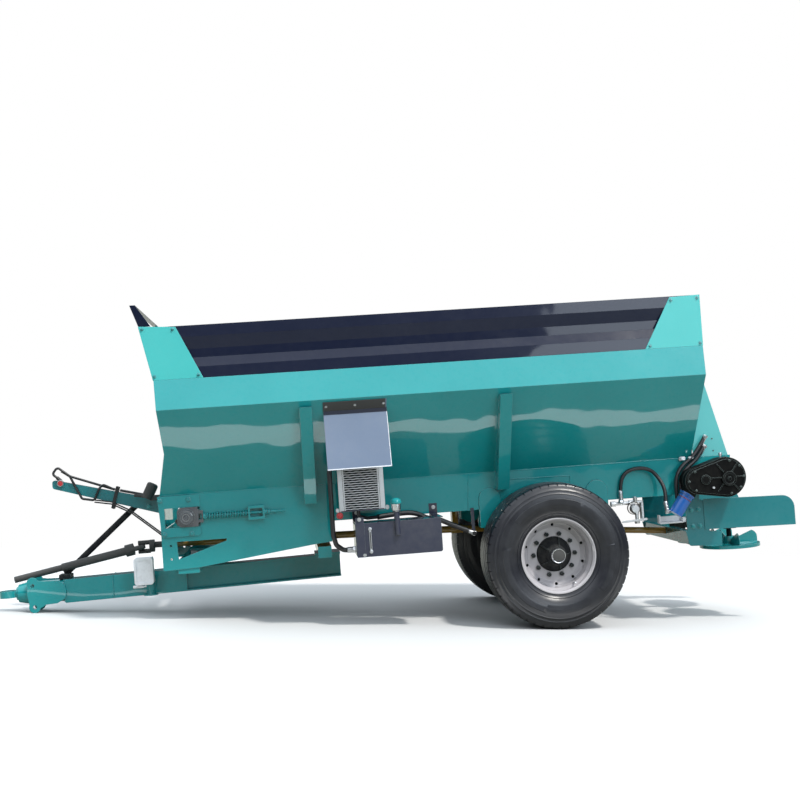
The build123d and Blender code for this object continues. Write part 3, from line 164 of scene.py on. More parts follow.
class SpreaderSizes(bpy.types.PropertyGroup):
    """Sizes of the fittings that the scene adds"""

    bolt_flats: length("Bolt", "Width across the flats of the body bolts", 0.030)
    groove_depth: length("Tread groove", "Depth of the grooves round the tyres", 0.013)
    sipes: bpy.props.IntProperty(
        name="Shoulder notches", description="Notches round each shoulder of a tyre",
        default=50, min=12, max=90)
    coil_wire: length("Spring wire", "Radius of the wire of the take-up springs", 0.0048)
    coil_turns: bpy.props.FloatProperty(
        name="Spring turns", description="Turns in each take-up spring", default=16.0, min=3.0)
    chain_pitch: length("Chain pitch", "Pitch of the floor chain's links", 0.064)
    weld: length("Weld", "Radius of the weld beads", 0.0045)


# --------------------------------------------------------------- materials


def new_material(name, shade):
    """Material whose shader takes the settings and links that shade(tree) returns."""
    material = bpy.data.materials.new(name)
    material.use_nodes = True
    tree = material.node_tree
    tree.nodes.clear()
    shader = add(tree, "ShaderNodeBsdfPrincipled", shade(tree))
    add(tree, "ShaderNodeOutputMaterial", {"Surface": shader})
    return material


def tinged(tree, tint, other, amount, low, high, most):
    """A tint that turns to another colour while an amount runs from low to high."""
    share = add(tree, "ShaderNodeMapRange", {
        "Value": amount, "From Min": low, "From Max": high, "To Max": most})
    return add(tree, "ShaderNodeMix", {0: share, 6: tint, 7: linear(other)},
               data_type="RGBA").outputs[2]


def sprayed_enamel(name, tint, gloss=0.3, sheet=0.5, dust=0.02, edge=0.004, coat=1.0):
    """Machine enamel sprayed on steel, one coat of gloss over primer.

    Even colour that clouds a little with dust, orange peel, a slow wave from
    the sheet under it, and paler edges, partly rubbed and partly a painted highlight.
    """

    def shade(tree):
        place = add(tree, "ShaderNodeTexCoord").outputs["Object"]
        # dust that settles in clouds of half a metre
        cloud = add(tree, "ShaderNodeTexNoise", {"Vector": place, "Scale": 1.9, "Detail": 5.0})
        grime = add(tree, "ShaderNodeTexNoise", {
            "Vector": place, "Scale": 17.0, "Detail": 6.0, "Roughness": 0.65})
        film = add(tree, "ShaderNodeMath", {0: cloud, 1: grime}, operation="MULTIPLY")
        dusty = tinged(tree, tint, "#A9A79B", film, 0.17, 0.42, dust)
        # coats vary by a few percent from one spray pass to the next
        passes = add(tree, "ShaderNodeMapRange", {
            "Value": cloud, "From Min": 0.3, "From Max": 0.7, "To Min": 0.96, "To Max": 1.04})
        varied = add(tree, "ShaderNodeHueSaturation", {"Color": dusty, "Value": passes})
        # the film is thin on edges, which shine and rub pale; the pale tint there is also a
        # painted highlight along every edge
        rounded = add(tree, "ShaderNodeBevel", {"Radius": edge}, samples=4)
        face = add(tree, "ShaderNodeNewGeometry").outputs["Normal"]
        turn = add(tree, "ShaderNodeVectorMath", {0: rounded, 1: face}, operation="DOT_PRODUCT")
        worn_and_highlit = tinged(tree, varied, "#BFD3D2", turn.outputs["Value"], 0.97, 0.80, 0.30)
        shine = add(tree, "ShaderNodeMapRange", {
            "Value": grime, "From Min": 0.3, "From Max": 0.75,
            "To Min": gloss - 0.03, "To Max": gloss + 0.08})
        # orange peel, drawn at 14 mm, coarser than the real 3 mm, so that it shows
        peel = add(tree, "ShaderNodeTexNoise", {"Vector": place, "Scale": 70.0, "Detail": 2.0})
        slow = add(tree, "ShaderNodeTexNoise", {"Vector": place, "Scale": 2.6, "Detail": 1.0})
        wave = add(tree, "ShaderNodeBump", {
            "Height": slow, "Strength": sheet, "Distance": 0.012, "Normal": rounded})
        skin = add(tree, "ShaderNodeBump", {
            "Height": peel, "Strength": 0.22, "Distance": 0.0012, "Normal": wave})
        return {"Base Color": worn_and_highlit, "Roughness": shine, "IOR": 1.16, "Coat Weight": coat,
                "Coat Roughness": 0.035, "Coat Normal": wave, "Normal": skin}

    return new_material(name, shade)


def bare_metal(name, tint, rough, spots):
    """Bare or plated metal: drawn or ground grain, with stains and handling marks."""

    def shade(tree):
        place = add(tree, "ShaderNodeTexCoord").outputs["Object"]
        along = add(tree, "ShaderNodeMapping", {"Vector": place, "Scale": (60.0, 60.0, 600.0)})
        lines = add(tree, "ShaderNodeTexNoise", {"Vector": along, "Scale": 1.0, "Detail": 3.0})
        stain = add(tree, "ShaderNodeTexNoise", {
            "Vector": place, "Scale": 28.0, "Detail": 6.0, "Roughness": 0.7})
        tone = tinged(tree, tint, "#4B4338", stain, 0.42, 0.72, spots)
        shine = add(tree, "ShaderNodeMapRange", {
            "Value": stain, "From Min": 0.25, "From Max": 0.75,
            "To Min": rough - 0.08, "To Max": rough + 0.2})
        skin = add(tree, "ShaderNodeBump", {"Height": lines, "Strength": 0.35, "Distance": 0.0006})
        return {"Base Color": tone, "Metallic": 1.0, "Roughness": shine, "Normal": skin}

    return new_material(name, shade)


def vulcanised_rubber(name, tint, rough, chalk, weave=0.0):
    """Black rubber from a mould: dull, with a chalky bloom and fine pores.

    A hose also shows the cloth that wrapped it while it cured.
    """

    def shade(tree):
        place = add(tree, "ShaderNodeTexCoord").outputs["Object"]
        bloom = add(tree, "ShaderNodeTexNoise", {
            "Vector": place, "Scale": 6.0, "Detail": 6.0, "Roughness": 0.6})
        tone = tinged(tree, tint, "#6F727C", bloom, 0.35, 0.75, chalk)
        shine = add(tree, "ShaderNodeMapRange", {
            "Value": bloom, "From Min": 0.3, "From Max": 0.7,
            "To Min": rough - 0.05, "To Max": rough + 0.05})
        pores = add(tree, "ShaderNodeTexNoise", {"Vector": place, "Scale": 260.0, "Detail": 3.0})
        cloth = add(tree, "ShaderNodeTexWave", {
            "Vector": place, "Scale": 90.0, "Distortion": 0.6}, bands_direction="DIAGONAL")
        both = add(tree, "ShaderNodeMix", {0: weave, 2: pores, 3: cloth.outputs[1]})
        skin = add(tree, "ShaderNodeBump", {"Height": both, "Strength": 0.4, "Distance": 0.0008})
        return {"Base Color": tone, "Roughness": shine, "IOR": 1.55, "Normal": skin}

    return new_material(name, shade)


def moulded_plastic(name, tint, rough):
    """Injection-moulded plastic: satin, with a spark-eroded grain and light scuffs."""

    def shade(tree):
        place = add(tree, "ShaderNodeTexCoord").outputs["Object"]
        scuff = add(tree, "ShaderNodeTexNoise", {
            "Vector": place, "Scale": 22.0, "Detail": 7.0, "Roughness": 0.7})
        tone = tinged(tree, tint, "#8A8C90", scuff, 0.45, 0.8, 0.3)
        shine = add(tree, "ShaderNodeMapRange", {
            "Value": scuff, "From Min": 0.3, "From Max": 0.8,
            "To Min": rough - 0.06, "To Max": rough + 0.2})
        grain = add(tree, "ShaderNodeTexVoronoi", {"Vector": place, "Scale": 420.0})
        edge = add(tree, "ShaderNodeBevel", {"Radius": 0.004}, samples=4)
        skin = add(tree, "ShaderNodeBump", {
            "Height": grain, "Strength": 0.25, "Distance": 0.0004, "Normal": edge})
        return {"Base Color": tone, "Roughness": shine, "Normal": skin}

    return new_material(name, shade)


# how each finish is made, its colour by name or hex, and its settings
FINISHES = {
    # two-pack machine enamel over sheet, even and glossy
    "body_enamel": (sprayed_enamel, "body", {"gloss": 0.27}),
    # the same enamel in lit and shaded copies: painted sunlight on the gussets, end boards and
    # rear hood, painted shade on the spinner frame, blades and hose arm
    "painted_sunlit_enamel": (sprayed_enamel, "light", {"sheet": 0.4, "coat": 0.2}),
    "painted_sunlit_hood_enamel": (sprayed_enamel, "hood", {"sheet": 0.3, "coat": 0.2}),
    "painted_shade_enamel": (sprayed_enamel, "shade", {"gloss": 0.27, "sheet": 0.4}),
    # and on pressed boards, dark and glossy
    "board_enamel": (sprayed_enamel, "boards",
                     {"gloss": 0.20, "sheet": 0.35, "dust": 0.01, "coat": 0.4}),
    # thin sheet that buckles between its screws and holds dust; its colour is made paler and bluer
    # as a painted reflection of the sky on the slanted flap
    "cover_enamel_with_painted_sky": (sprayed_enamel, "cover", {"sheet": 0.6, "dust": 0.06, "edge": 0.003}),
    "tank_enamel": (sprayed_enamel, "tank", {"gloss": 0.36, "sheet": 0.6, "dust": 0.05}),
    # chassis enamel, brushed on matt over forged and rolled parts
    "gear_enamel": (sprayed_enamel, "under",
                    {"gloss": 0.5, "sheet": 0.1, "dust": 0.10, "coat": 0.0}),
    # primer that never got its top coat
    "line_primer": (sprayed_enamel, "primer", {"gloss": 0.5, "sheet": 0.1, "dust": 0.2}),
    # sand castings: a lumpy skin under enamel
    "cast_enamel": (sprayed_enamel, "casting",
                    {"gloss": 0.46, "sheet": 0.8, "edge": 0.006, "coat": 0.0}),
    "grey_iron": (sprayed_enamel, "#54565E",
                  {"gloss": 0.5, "sheet": 0.9, "dust": 0.15, "edge": 0.006}),
    "motor_enamel": (sprayed_enamel, "motor", {"sheet": 0.2, "dust": 0.04}),
    # dark red enamel on the motor's end ring
    "ring_enamel": (sprayed_enamel, "#6E1620", {"gloss": 0.4, "sheet": 0.1, "dust": 0.04}),
    # metallic lacquer on steel discs
    "rim_lacquer": (sprayed_enamel, "rim", {"sheet": 0.2, "dust": 0.05}),
    # the core of the cooler is dipped black behind its bright bars
    "core_black": (sprayed_enamel, "#1B1C20", {"gloss": 0.5, "sheet": 0.1, "dust": 0.05}),
    "tread_rubber": (vulcanised_rubber, "tyre", {"rough": 0.34, "chalk": 0.09}),
    "hose_rubber": (vulcanised_rubber, "#0C0D12", {"rough": 0.42, "chalk": 0.06, "weave": 0.5}),
    "guard_plastic": (moulded_plastic, "guard", {"rough": 0.34}),
    "case_plastic": (moulded_plastic, "case", {"rough": 0.34}),
    "red_plastic": (moulded_plastic, "#B3262C", {"rough": 0.32}),
    # electroplated zinc, bright with a fine drawn grain
    "bright_zinc": (bare_metal, "#C9CBCF", {"rough": 0.30, "spots": 0.08}),
    "ground_steel": (bare_metal, "#A3A5A8", {"rough": 0.3, "spots": 0.35}),
    # hot-rolled steel with old chain oil on it
    "oiled_steel": (bare_metal, "#5C5A57", {"rough": 0.42, "spots": 0.6}),
    "hard_chrome": (bare_metal, "#E2E4E8", {"rough": 0.14, "spots": 0.05}),
    "mill_aluminium": (bare_metal, "#D3D6DC", {"rough": 0.34, "spots": 0.12}),
}


def finish(name):
    """The material of a finish, made when it is first asked for."""
    if name in bpy.data.materials:
        return bpy.data.materials[name]
    make, tint, settings = FINISHES[name]
    if tint[0] == "#":
        return make(name, linear(tint), **settings)
    return make(name, getattr(bpy.context.scene.spreader_colours, tint), **settings)


FINISH_OF_NODE = {
    "body_enamel": (
        "side_panels", "front_wall", "rear_wall", "frame_sides", "floor", "takeup_plates",
        "gate", "spinner_left", "spinner_right", "spring_hangers", "drawbar", "hitch_plates",
        "hitch_eye", "drawbar_mounts", "takeup_springs", "takeup_rods", "jack_tube",
        "jack_leg"),
    # painted shade: a darker copy of the body enamel
    "painted_shade_enamel": ("spinner_frame", "deflector_blades", "hose_arm"),
    # painted sunlight: a paler copy of the body enamel
    "painted_sunlit_enamel": ("corner_gussets", "end_boards"),
    # painted sunlight on the rear hood: a paler copy of the body enamel
    "painted_sunlit_hood_enamel": ("rear_hood",),
    "board_enamel": ("extension_boards", "front_guard"),
    "cover_enamel_with_painted_sky": ("cooler_cover",),
    "tank_enamel": ("oil_tank", "oil_brackets"),
    "gear_enamel": ("axle", "leaf_springs", "spring_clamps", "spinner_drive", "gate_cylinder",
                    "arm_strut", "hub_left", "hub_right"),
    "line_primer": ("line_shaft",),
    "cast_enamel": ("apron_gearbox",),
    "motor_enamel": ("apron_motor",),
    "rim_lacquer": ("rim_left", "rim_right"),
    "tread_rubber": ("tyre_left", "tyre_right"),
    "hose_rubber": ("arm_hoses", "oil_hoses", "rear_hoses"),
    "guard_plastic": ("pto_shaft", "line_filter"),
    "case_plastic": ("jack_case",),
    "ground_steel": ("conveyor_shafts",),
    "oiled_steel": ("apron_chain",),
    "hard_chrome": ("gate_rod",),
    "core_black": ("cooler_core",),
    "grey_iron": ("shaft_bearings",),
}


# ----------------------------------------------------------- making pieces


def fit(name, mesh, body, slot, *nodes):
    """Lay a mesh down as the machine parks, ride it on a body, stand it for CAD nodes."""
    mesh.transform(park)
    mesh.update()
    piece = bpy.data.objects.new(name, mesh)
    bpy.context.scene.collection.objects.link(piece)
    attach(piece, body)
    if nodes:
        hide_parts(*nodes)


def mesh_of(shape, name, kind):
    """Mesh of a bmesh in one finish, with its doubles merged and its faces outward."""
    bmesh.ops.remove_doubles(shape, verts=shape.verts, dist=1e-6)
    bmesh.ops.recalc_face_normals(shape, faces=shape.faces)
    mesh = bpy.data.meshes.new(name)
    shape.to_mesh(mesh)
    shape.free()
    mesh.materials.append(finish(kind))
    return mesh


def smooth(mesh, degrees=35.0):
    """Shade smooth, with edges sharper than this kept crisp."""
    mesh.polygons.foreach_set("use_smooth", [True] * len(mesh.polygons))
    mesh.set_sharp_from_angle(angle=math.radians(degrees))
    return mesh


def fit_shape(name, shape, kind, slot, body="chassis", crisp=35.0):
    """Fit a bmesh as one piece in a finish; without a crisp angle it is left flat."""
    mesh = mesh_of(shape, name, kind)
    fit(name, smooth(mesh, crisp) if crisp else mesh, body, slot)


def fit_turned(name, kind, slot, *turnings, body="chassis", crisp=35.0):
    """Fit a piece of turned shapes: profile in millimetres, foot, way and steps of each."""
    shape = bmesh.new()
    for profile, foot, way, steps in turnings:
        turned(shape, profile, foot, way, steps)
    fit_shape(name, shape, kind, slot, body, crisp)


def facing(origin, way):
    """Matrix that turns Z to a direction at a point."""
    turn = Vector(way).to_track_quat("Z", "Y").to_matrix().to_4x4()
    turn.translation = Vector(origin)
    return turn


def turned(shape, profile, foot, way, steps):
    """Turning: revolve (radius, height) in millimetres about the line from a foot along a way."""
    place = facing(foot, way) @ Matrix.Diagonal((0.001, 0.001, 0.001, 1.0))
    rings = []
    for radius, height in profile:
        turns = [math.tau * i / steps for i in range(steps)] if radius else [0.0]
        rings.append([shape.verts.new(place @ Vector((
            radius * math.cos(turn), radius * math.sin(turn), height))) for turn in turns])
    for low, high in zip(rings, rings[1:]):
        for i in range(steps):
            j = (i + 1) % steps
            ring = [low[i % len(low)], low[j % len(low)], high[j % len(high)], high[i % len(high)]]
            corners = list(dict.fromkeys(ring))
            if len(corners) > 2:
                shape.faces.new(corners)


def skinned(shape, rings, loop=False):
    """Walls between rings of points, one after another, with ends or closed in a loop."""
    rows = [[shape.verts.new(point) for point in ring] for ring in rings]
    faces = []
    if not loop:
        faces += [shape.faces.new(rows[0]), shape.faces.new(rows[-1][::-1])]
    for low, high in zip(rows, rows[1:] + rows[:1] if loop else rows[1:]):
        for i in range(len(low)):
            j = (i + 1) % len(low)
            faces.append(shape.faces.new((low[i], high[i], high[j], low[j])))
    return faces


def round_edges(shape, faces, offset, segments):
    """Round off every edge of these faces."""
    edges = list({edge for face in faces for edge in face.edges})
    bmesh.ops.bevel(shape, geom=edges, offset=offset, segments=segments, affect="EDGES",
                    clamp_overlap=True)


def pressed_block(shape, low, high, round_off):
    """Block between two corners with its edges rounded."""
    size = Vector(high) - Vector(low)
    place = Matrix.Translation((Vector(low) + Vector(high)) / 2) @ Matrix.Diagonal((*size, 1.0))
    made = bmesh.ops.create_cube(shape, size=1.0, matrix=place)["verts"]
    round_edges(shape, {face for vert in made for face in vert.link_faces}, round_off, 2)


def plate(shape, outline, y0, y1, round_off):
    """Flat plate of an (x, z) outline between two Y planes."""
    faces = skinned(shape, [[(x, y, z) for x, z in outline] for y in (y0, y1)])
    round_edges(shape, faces, round_off, 1)


def around(centre, radius, turns):
    """(x, z) points round a centre, at angles in degrees."""
    return [(centre[0] + radius * math.cos(math.radians(turn)),
             centre[1] + radius * math.sin(math.radians(turn))) for turn in turns]


def plain(holder):
    """Plain mesh of an object as its modifiers leave it; the object goes."""
    mesh = bpy.data.meshes.new_from_object(holder.evaluated_get(
        bpy.context.evaluated_depsgraph_get()))
    bpy.data.objects.remove(holder)
    return mesh


def bent_bar(points, radius):
    """Mesh of a round bar, pipe or hose along a route."""
    curve = bpy.data.curves.new("route", "CURVE")
    curve.dimensions = "3D"
    curve.bevel_depth = radius
    curve.bevel_resolution = 6
    curve.use_fill_caps = True
    spline = curve.splines.new("NURBS")
    spline.points.add(len(points) - 1)
    for point, place in zip(spline.points, points):
        point.co = (*place, 1.0)
    spline.order_u = 3
    spline.use_endpoint_u = True
    spline.resolution_u = 10
    holder = bpy.data.objects.new("route", curve)
    bpy.context.scene.collection.objects.link(holder)
    mesh = plain(holder)
    bpy.data.curves.remove(curve)
    return mesh


def joined(name, meshes, kind):
    """One mesh of several, in one finish."""
    shape = bmesh.new()
    for mesh in meshes:
        shape.from_mesh(mesh)
        bpy.data.meshes.remove(mesh)
    for face in shape.faces:
        face.material_index = 0
    whole = bpy.data.meshes.new(name)
    shape.to_mesh(whole)
    shape.free()
    whole.materials.append(finish(kind))
    return whole


# ----------------------------------------------------------- node trees


def stand_on_marks(tree, given, fitting):
    """Instances of a fitting on marks, each turned to its own direction."""
    way = add(tree, "GeometryNodeInputNamedAttribute", {"Name": "way"}, data_type="FLOAT_VECTOR")
    turn = add(tree, "FunctionNodeAlignRotationToVector", {"Vector": way}, axis="Z")
    return add(tree, "GeometryNodeInstanceOnPoints", {
        "Points": given, "Instance": fitting, "Rotation": turn})


def parts_of(tree, given, *parts):
    """Nodes that give parts of the named sizes."""
    return [add(tree, "ShaderNodeMath", {0: given.outputs[size], 1: part}, operation="MULTIPLY")
            for size, part in parts]


def bolt(tree, given):
    """Hexagon head on a washer with the thread's end, on each mark."""
    height = given.outputs["Head Height"]
    # a hexagon's corners lie 0.57735 of its flats from the middle
    corner, washer_radius, thread_radius, half = parts_of(
        tree, given, ("Across Flats", 0.57735), ("Across Flats", 0.72), ("Across Flats", 0.28),
        ("Head Height", 0.5))
    washer = add(tree, "GeometryNodeMeshCylinder", {
        "Vertices": 24, "Radius": washer_radius, "Depth": 0.006})
    head = add(tree, "GeometryNodeMeshCylinder", {
        "Vertices": 6, "Radius": corner, "Depth": height})
    thread = add(tree, "GeometryNodeMeshCone", {
        "Vertices": 12, "Radius Bottom": thread_radius, "Radius Top": thread_radius,
        "Depth": half})
    whole = add(tree, "GeometryNodeJoinGeometry", {0: washer})
    for part, rise in ((head, half), (thread, height)):
        lift = add(tree, "ShaderNodeCombineXYZ", {"Z": rise})
        raised = add(tree, "GeometryNodeTransform", {"Geometry": part, "Translation": lift})
        tree.links.new(raised.outputs[0], whole.inputs[0])
    return stand_on_marks(tree, given, whole)


def coil(tree, given):
    """Coil of round wire on each mark, wound along the mark's direction."""
    wound = add(tree, "GeometryNodeCurveSpiral", {
        "Resolution": 26, "Rotations": given.outputs["Turns"],
        "Start Radius": given.outputs["Radius"], "End Radius": given.outputs["Radius"],
        "Height": given.outputs["Length"]})
    section = add(tree, "GeometryNodeCurvePrimitiveCircle", {
        "Resolution": 10, "Radius": given.outputs["Wire"]})
    wire = add(tree, "GeometryNodeCurveToMesh", {
        "Curve": wound, "Profile Curve": section, "Fill Caps": True})
    return stand_on_marks(tree, given, wire)


def odd_ones(tree):
    """1 on every other point, 0 between."""
    index = add(tree, "GeometryNodeInputIndex")
    return add(tree, "ShaderNodeMath", {0: index, 1: 2.0}, operation="MODULO")


def weld_bead(tree, given):
    """Weld bead along edges: a round bead that swells at each ripple."""
    line = add(tree, "GeometryNodeMeshToCurve", {"Mesh": given})
    even = add(tree, "GeometryNodeResampleCurve", {
        "Curve": line, "Length": given.outputs["Ripple"]}, mode="LENGTH")
    swell = add(tree, "ShaderNodeMapRange", {
        "Value": odd_ones(tree), "To Min": 0.82, "To Max": 1.15})
    shaped = add(tree, "GeometryNodeSetCurveRadius", {"Curve": even, "Radius": swell})
    section = add(tree, "GeometryNodeCurvePrimitiveCircle", {
        "Resolution": 6, "Radius": given.outputs["Bead"]})
    return add(tree, "GeometryNodeCurveToMesh", {
        "Curve": shaped, "Profile Curve": section, "Fill Caps": True})


def floor_chain(tree, given):
    """Round links along a loop, every other one turned on its side."""
    loop = add(tree, "GeometryNodeMeshToCurve", {"Mesh": given})
    even = add(tree, "GeometryNodeResampleCurve", {
        "Curve": loop, "Count": given.outputs["Links"]}, mode="COUNT")
    path = add(tree, "GeometryNodeInputTangent")
    turn = add(tree, "FunctionNodeAlignRotationToVector", {"Vector": path},
               axis="X", pivot_axis="Y")
    quarter = add(tree, "ShaderNodeMath", {0: odd_ones(tree), 1: math.pi / 2},
                  operation="MULTIPLY")
    roll = add(tree, "FunctionNodeAxisAngleToRotation", {
        "Axis": (1.0, 0.0, 0.0), "Angle": quarter})
    both = add(tree, "FunctionNodeRotateRotation", {"Rotation": turn, "Rotate By": roll},
               rotation_space="LOCAL")
    ring = add(tree, "GeometryNodeCurvePrimitiveCircle", {"Resolution": 14, "Radius": 1.0})
    reach, girth = parts_of(tree, given, ("Pitch", 0.62), ("Pitch", 0.24))
    stretch = add(tree, "ShaderNodeCombineXYZ", {"X": reach, "Y": girth, "Z": 1.0})
    oval = add(tree, "GeometryNodeTransform", {"Geometry": ring, "Scale": stretch})
    section = add(tree, "GeometryNodeCurvePrimitiveCircle", {
        "Resolution": 6, "Radius": given.outputs["Wire"]})
    link = add(tree, "GeometryNodeCurveToMesh", {"Curve": oval, "Profile Curve": section})
    return add(tree, "GeometryNodeInstanceOnPoints", {
        "Points": even, "Instance": link, "Rotation": both})


# what each tree grows, and the sizes that it takes
TREES = {
    "Bolts": (bolt, {"Across Flats": "Float", "Head Height": "Float"}),
    "Coil": (coil, {"Turns": "Float", "Radius": "Float", "Length": "Float", "Wire": "Float"}),
    "Weld bead": (weld_bead, {"Bead": "Float", "Ripple": "Float"}),
    "Floor chain": (floor_chain, {"Links": "Int", "Pitch": "Float", "Wire": "Float"}),
}


def node_tree(name):
    """Geometry node group with its sizes as named inputs, made when it is first asked for."""
    if name in bpy.data.node_groups:
        return bpy.data.node_groups[name]
    build, sizes = TREES[name]
    tree = bpy.data.node_groups.new(name, "GeometryNodeTree")
    tree.is_modifier = True
    for label, kind in {"Geometry": "Geometry", **sizes, "Material": "Material"}.items():
        tree.interface.new_socket(label, in_out="INPUT", socket_type=f"NodeSocket{kind}")
    tree.interface.new_socket("Geometry", in_out="OUTPUT", socket_type="NodeSocketGeometry")
    given = add(tree, "NodeGroupInput")
    real = add(tree, "GeometryNodeRealizeInstances", {"Geometry": build(tree, given)})
    painted = add(tree, "GeometryNodeSetMaterial", {
        "Geometry": real, "Material": given.outputs["Material"]})
    add(tree, "NodeGroupOutput", {0: painted})
    return tree


def grown(name, base, kind, sizes):
    """Plain mesh that a tree makes from a base mesh, in a finish and with these sizes."""
    holder = bpy.data.objects.new("holder", base)
    bpy.context.scene.collection.objects.link(holder)
    modifier = holder.modifiers.new(name, "NODES")
    modifier.node_group = node_tree(name)
    values = {**sizes, "Material": finish(kind)}
    for item in modifier.node_group.interface.items_tree:
        if item.in_out == "INPUT" and item.name in values:
            modifier[item.identifier] = values[item.name]
    mesh = plain(holder)
    bpy.data.meshes.remove(base)
    return mesh


def marks(places):
    """Mesh of points, each with the direction that its fitting faces."""
    mesh = bpy.data.meshes.new("marks")
    mesh.from_pydata([place for place, _ in places], [], [])
    way = mesh.attributes.new("way", "FLOAT_VECTOR", "POINT")
    for item, (_, direction) in zip(way.data, places):
        item.vector = direction
    return mesh


def bolts(places, flats, height, kind):
    """Mesh of bolts at these places."""
    return grown("Bolts", marks(places), kind, {"Across Flats": flats, "Head Height": height})


# ------------------------------------------------------------- the machine


def half_width(z):
    """Outer half width of the hopper body at this height."""
    if z >= CREASE_Z:
        return CREASE_Y + (TOP_Y - CREASE_Y) * (z - CREASE_Z) / (TOP_Z - CREASE_Z)
    if z >= SLOPE_Z:
        return SIDE_Y + (CREASE_Y - SIDE_Y) * (z - SLOPE_Z) / (CREASE_Z - SLOPE_Z)
    return SIDE_Y


class SPREADER_OT_paint(bpy.types.Operator):
    """Paint every CAD piece with its finish"""

    bl_idname = "spreader.paint"
    bl_label = "Paint and finishes"

    def execute(self, context):
        left = set(frame["nodes"])
        for name, nodes in FINISH_OF_NODE.items():
            material = finish(name)
            for node in nodes:
                piece = frame["nodes"][node]
                if not piece.material_slots:
                    piece.data.materials.append(material)
                for place in piece.material_slots:
                    place.material = material
                left.discard(node)
        if left:
            raise RuntimeError(f"no finish for {sorted(left)}")
        return {"FINISHED"}


def tyre_rings(side, sizes):
    """Sections of a tyre with a ribbed tread, notched shoulders and rings on its side walls."""
    depth = sizes.groove_depth
    notch_depth, sway_width, panel_rise = 0.009, 0.0045, 0.0024
    # (radius, distance from the tyre's middle, how much a notch cuts, side panel, zigzag)
    half = [(0.287, 0.160), (0.300, 0.171), (0.313, 0.176), (0.318, 0.183), (0.330, 0.190),
            (0.334, 0.187), (0.346, 0.196), (0.360, 0.203), (0.378, 0.210), (0.388, 0.2125),
            (0.391, 0.2125, 0, 1), (0.412, 0.2155, 0, 1), (0.448, 0.2165, 0, 1),
            (0.451, 0.2160), (0.466, 0.2145), (0.482, 0.2120), (0.485, 0.2135), (0.491, 0.2120),
            (0.494, 0.2090), (0.510, 0.2045), (0.514, 0.2055), (0.520, 0.2035), (0.523, 0.2005),
            (0.536, 0.1955), (0.548, 0.1905), (0.556, 0.1865, 0.7), (0.562, 0.1810, 1),
            (0.568, 0.1700, 1), (0.5695, 0.1520, 0.5), (0.570, 0.1420, 0, 0, 0.5),
            (0.571, 0.1240, 0, 0, 1), (0.571 - depth, 0.1200, 0, 0, 1),
            (0.572 - depth, 0.1100, 0, 0, 1), (0.5725, 0.1060, 0, 0, 1),
            (0.574, 0.0560, 0, 0, -1), (0.574 - depth, 0.0520, 0, 0, -1),
            (0.574 - depth, 0.0420, 0, 0, -1), (0.5745, 0.0380, 0, 0, -1),
            (0.575, 0.0080, 0, 0, 1)]
    half = [(*row, 0, 0, 0)[:5] for row in half]
    profile = half + [(r, -w, cut, 0, zig) for r, w, cut, _, zig in half[::-1]]
    # arcs of the side wall with a raised panel, in degrees
    panels = ((62.0, 138.0), (168.0, 252.0), (318.0, 368.0))
    # cuts through one pitch of the tread; the two at the bottom of a notch
    steps, notch_floor = (0.0, 0.055, 0.075, 0.155, 0.175, 0.45, 0.725), (0.075, 0.155)
    rings = []
    for pitch in range(sizes.sipes):
        for step in steps:
            turn = 360.0 * (pitch + step) / sizes.sipes
            raised = any(low < turn < high or low < turn + 360 < high for low, high in panels)
            sway = sway_width * math.sin(math.tau * 2 * (pitch + step))
            angle = math.radians(turn)
            ring = []
            for radius, out, cut, panel, zigzag in profile:
                radius -= notch_depth * cut * (step in notch_floor)
                out += zigzag * sway + (panel_rise if panel and raised else 0.0)
                ring.append((radius * math.cos(angle), side * (HALF_TRACK + out),
                             radius * math.sin(angle)))
            rings.append(ring)
    return rings


class SPREADER_OT_tyres(bpy.types.Operator):
    """Ribbed tyres in place of the plain turned ones"""

    bl_idname = "spreader.tyres"
    bl_label = "Tyres"

    def execute(self, context):
        for side, end in SIDES:
            shape = bmesh.new()
            skinned(shape, tyre_rings(side, context.scene.spreader_sizes), loop=True)
            mesh = smooth(mesh_of(shape, "tyre", "tread_rubber"), 32.0)
            fit(f"tread_{end}", mesh, f"wheel_{end}", "tyre", f"tyre_{end}")
        return {"FINISHED"}


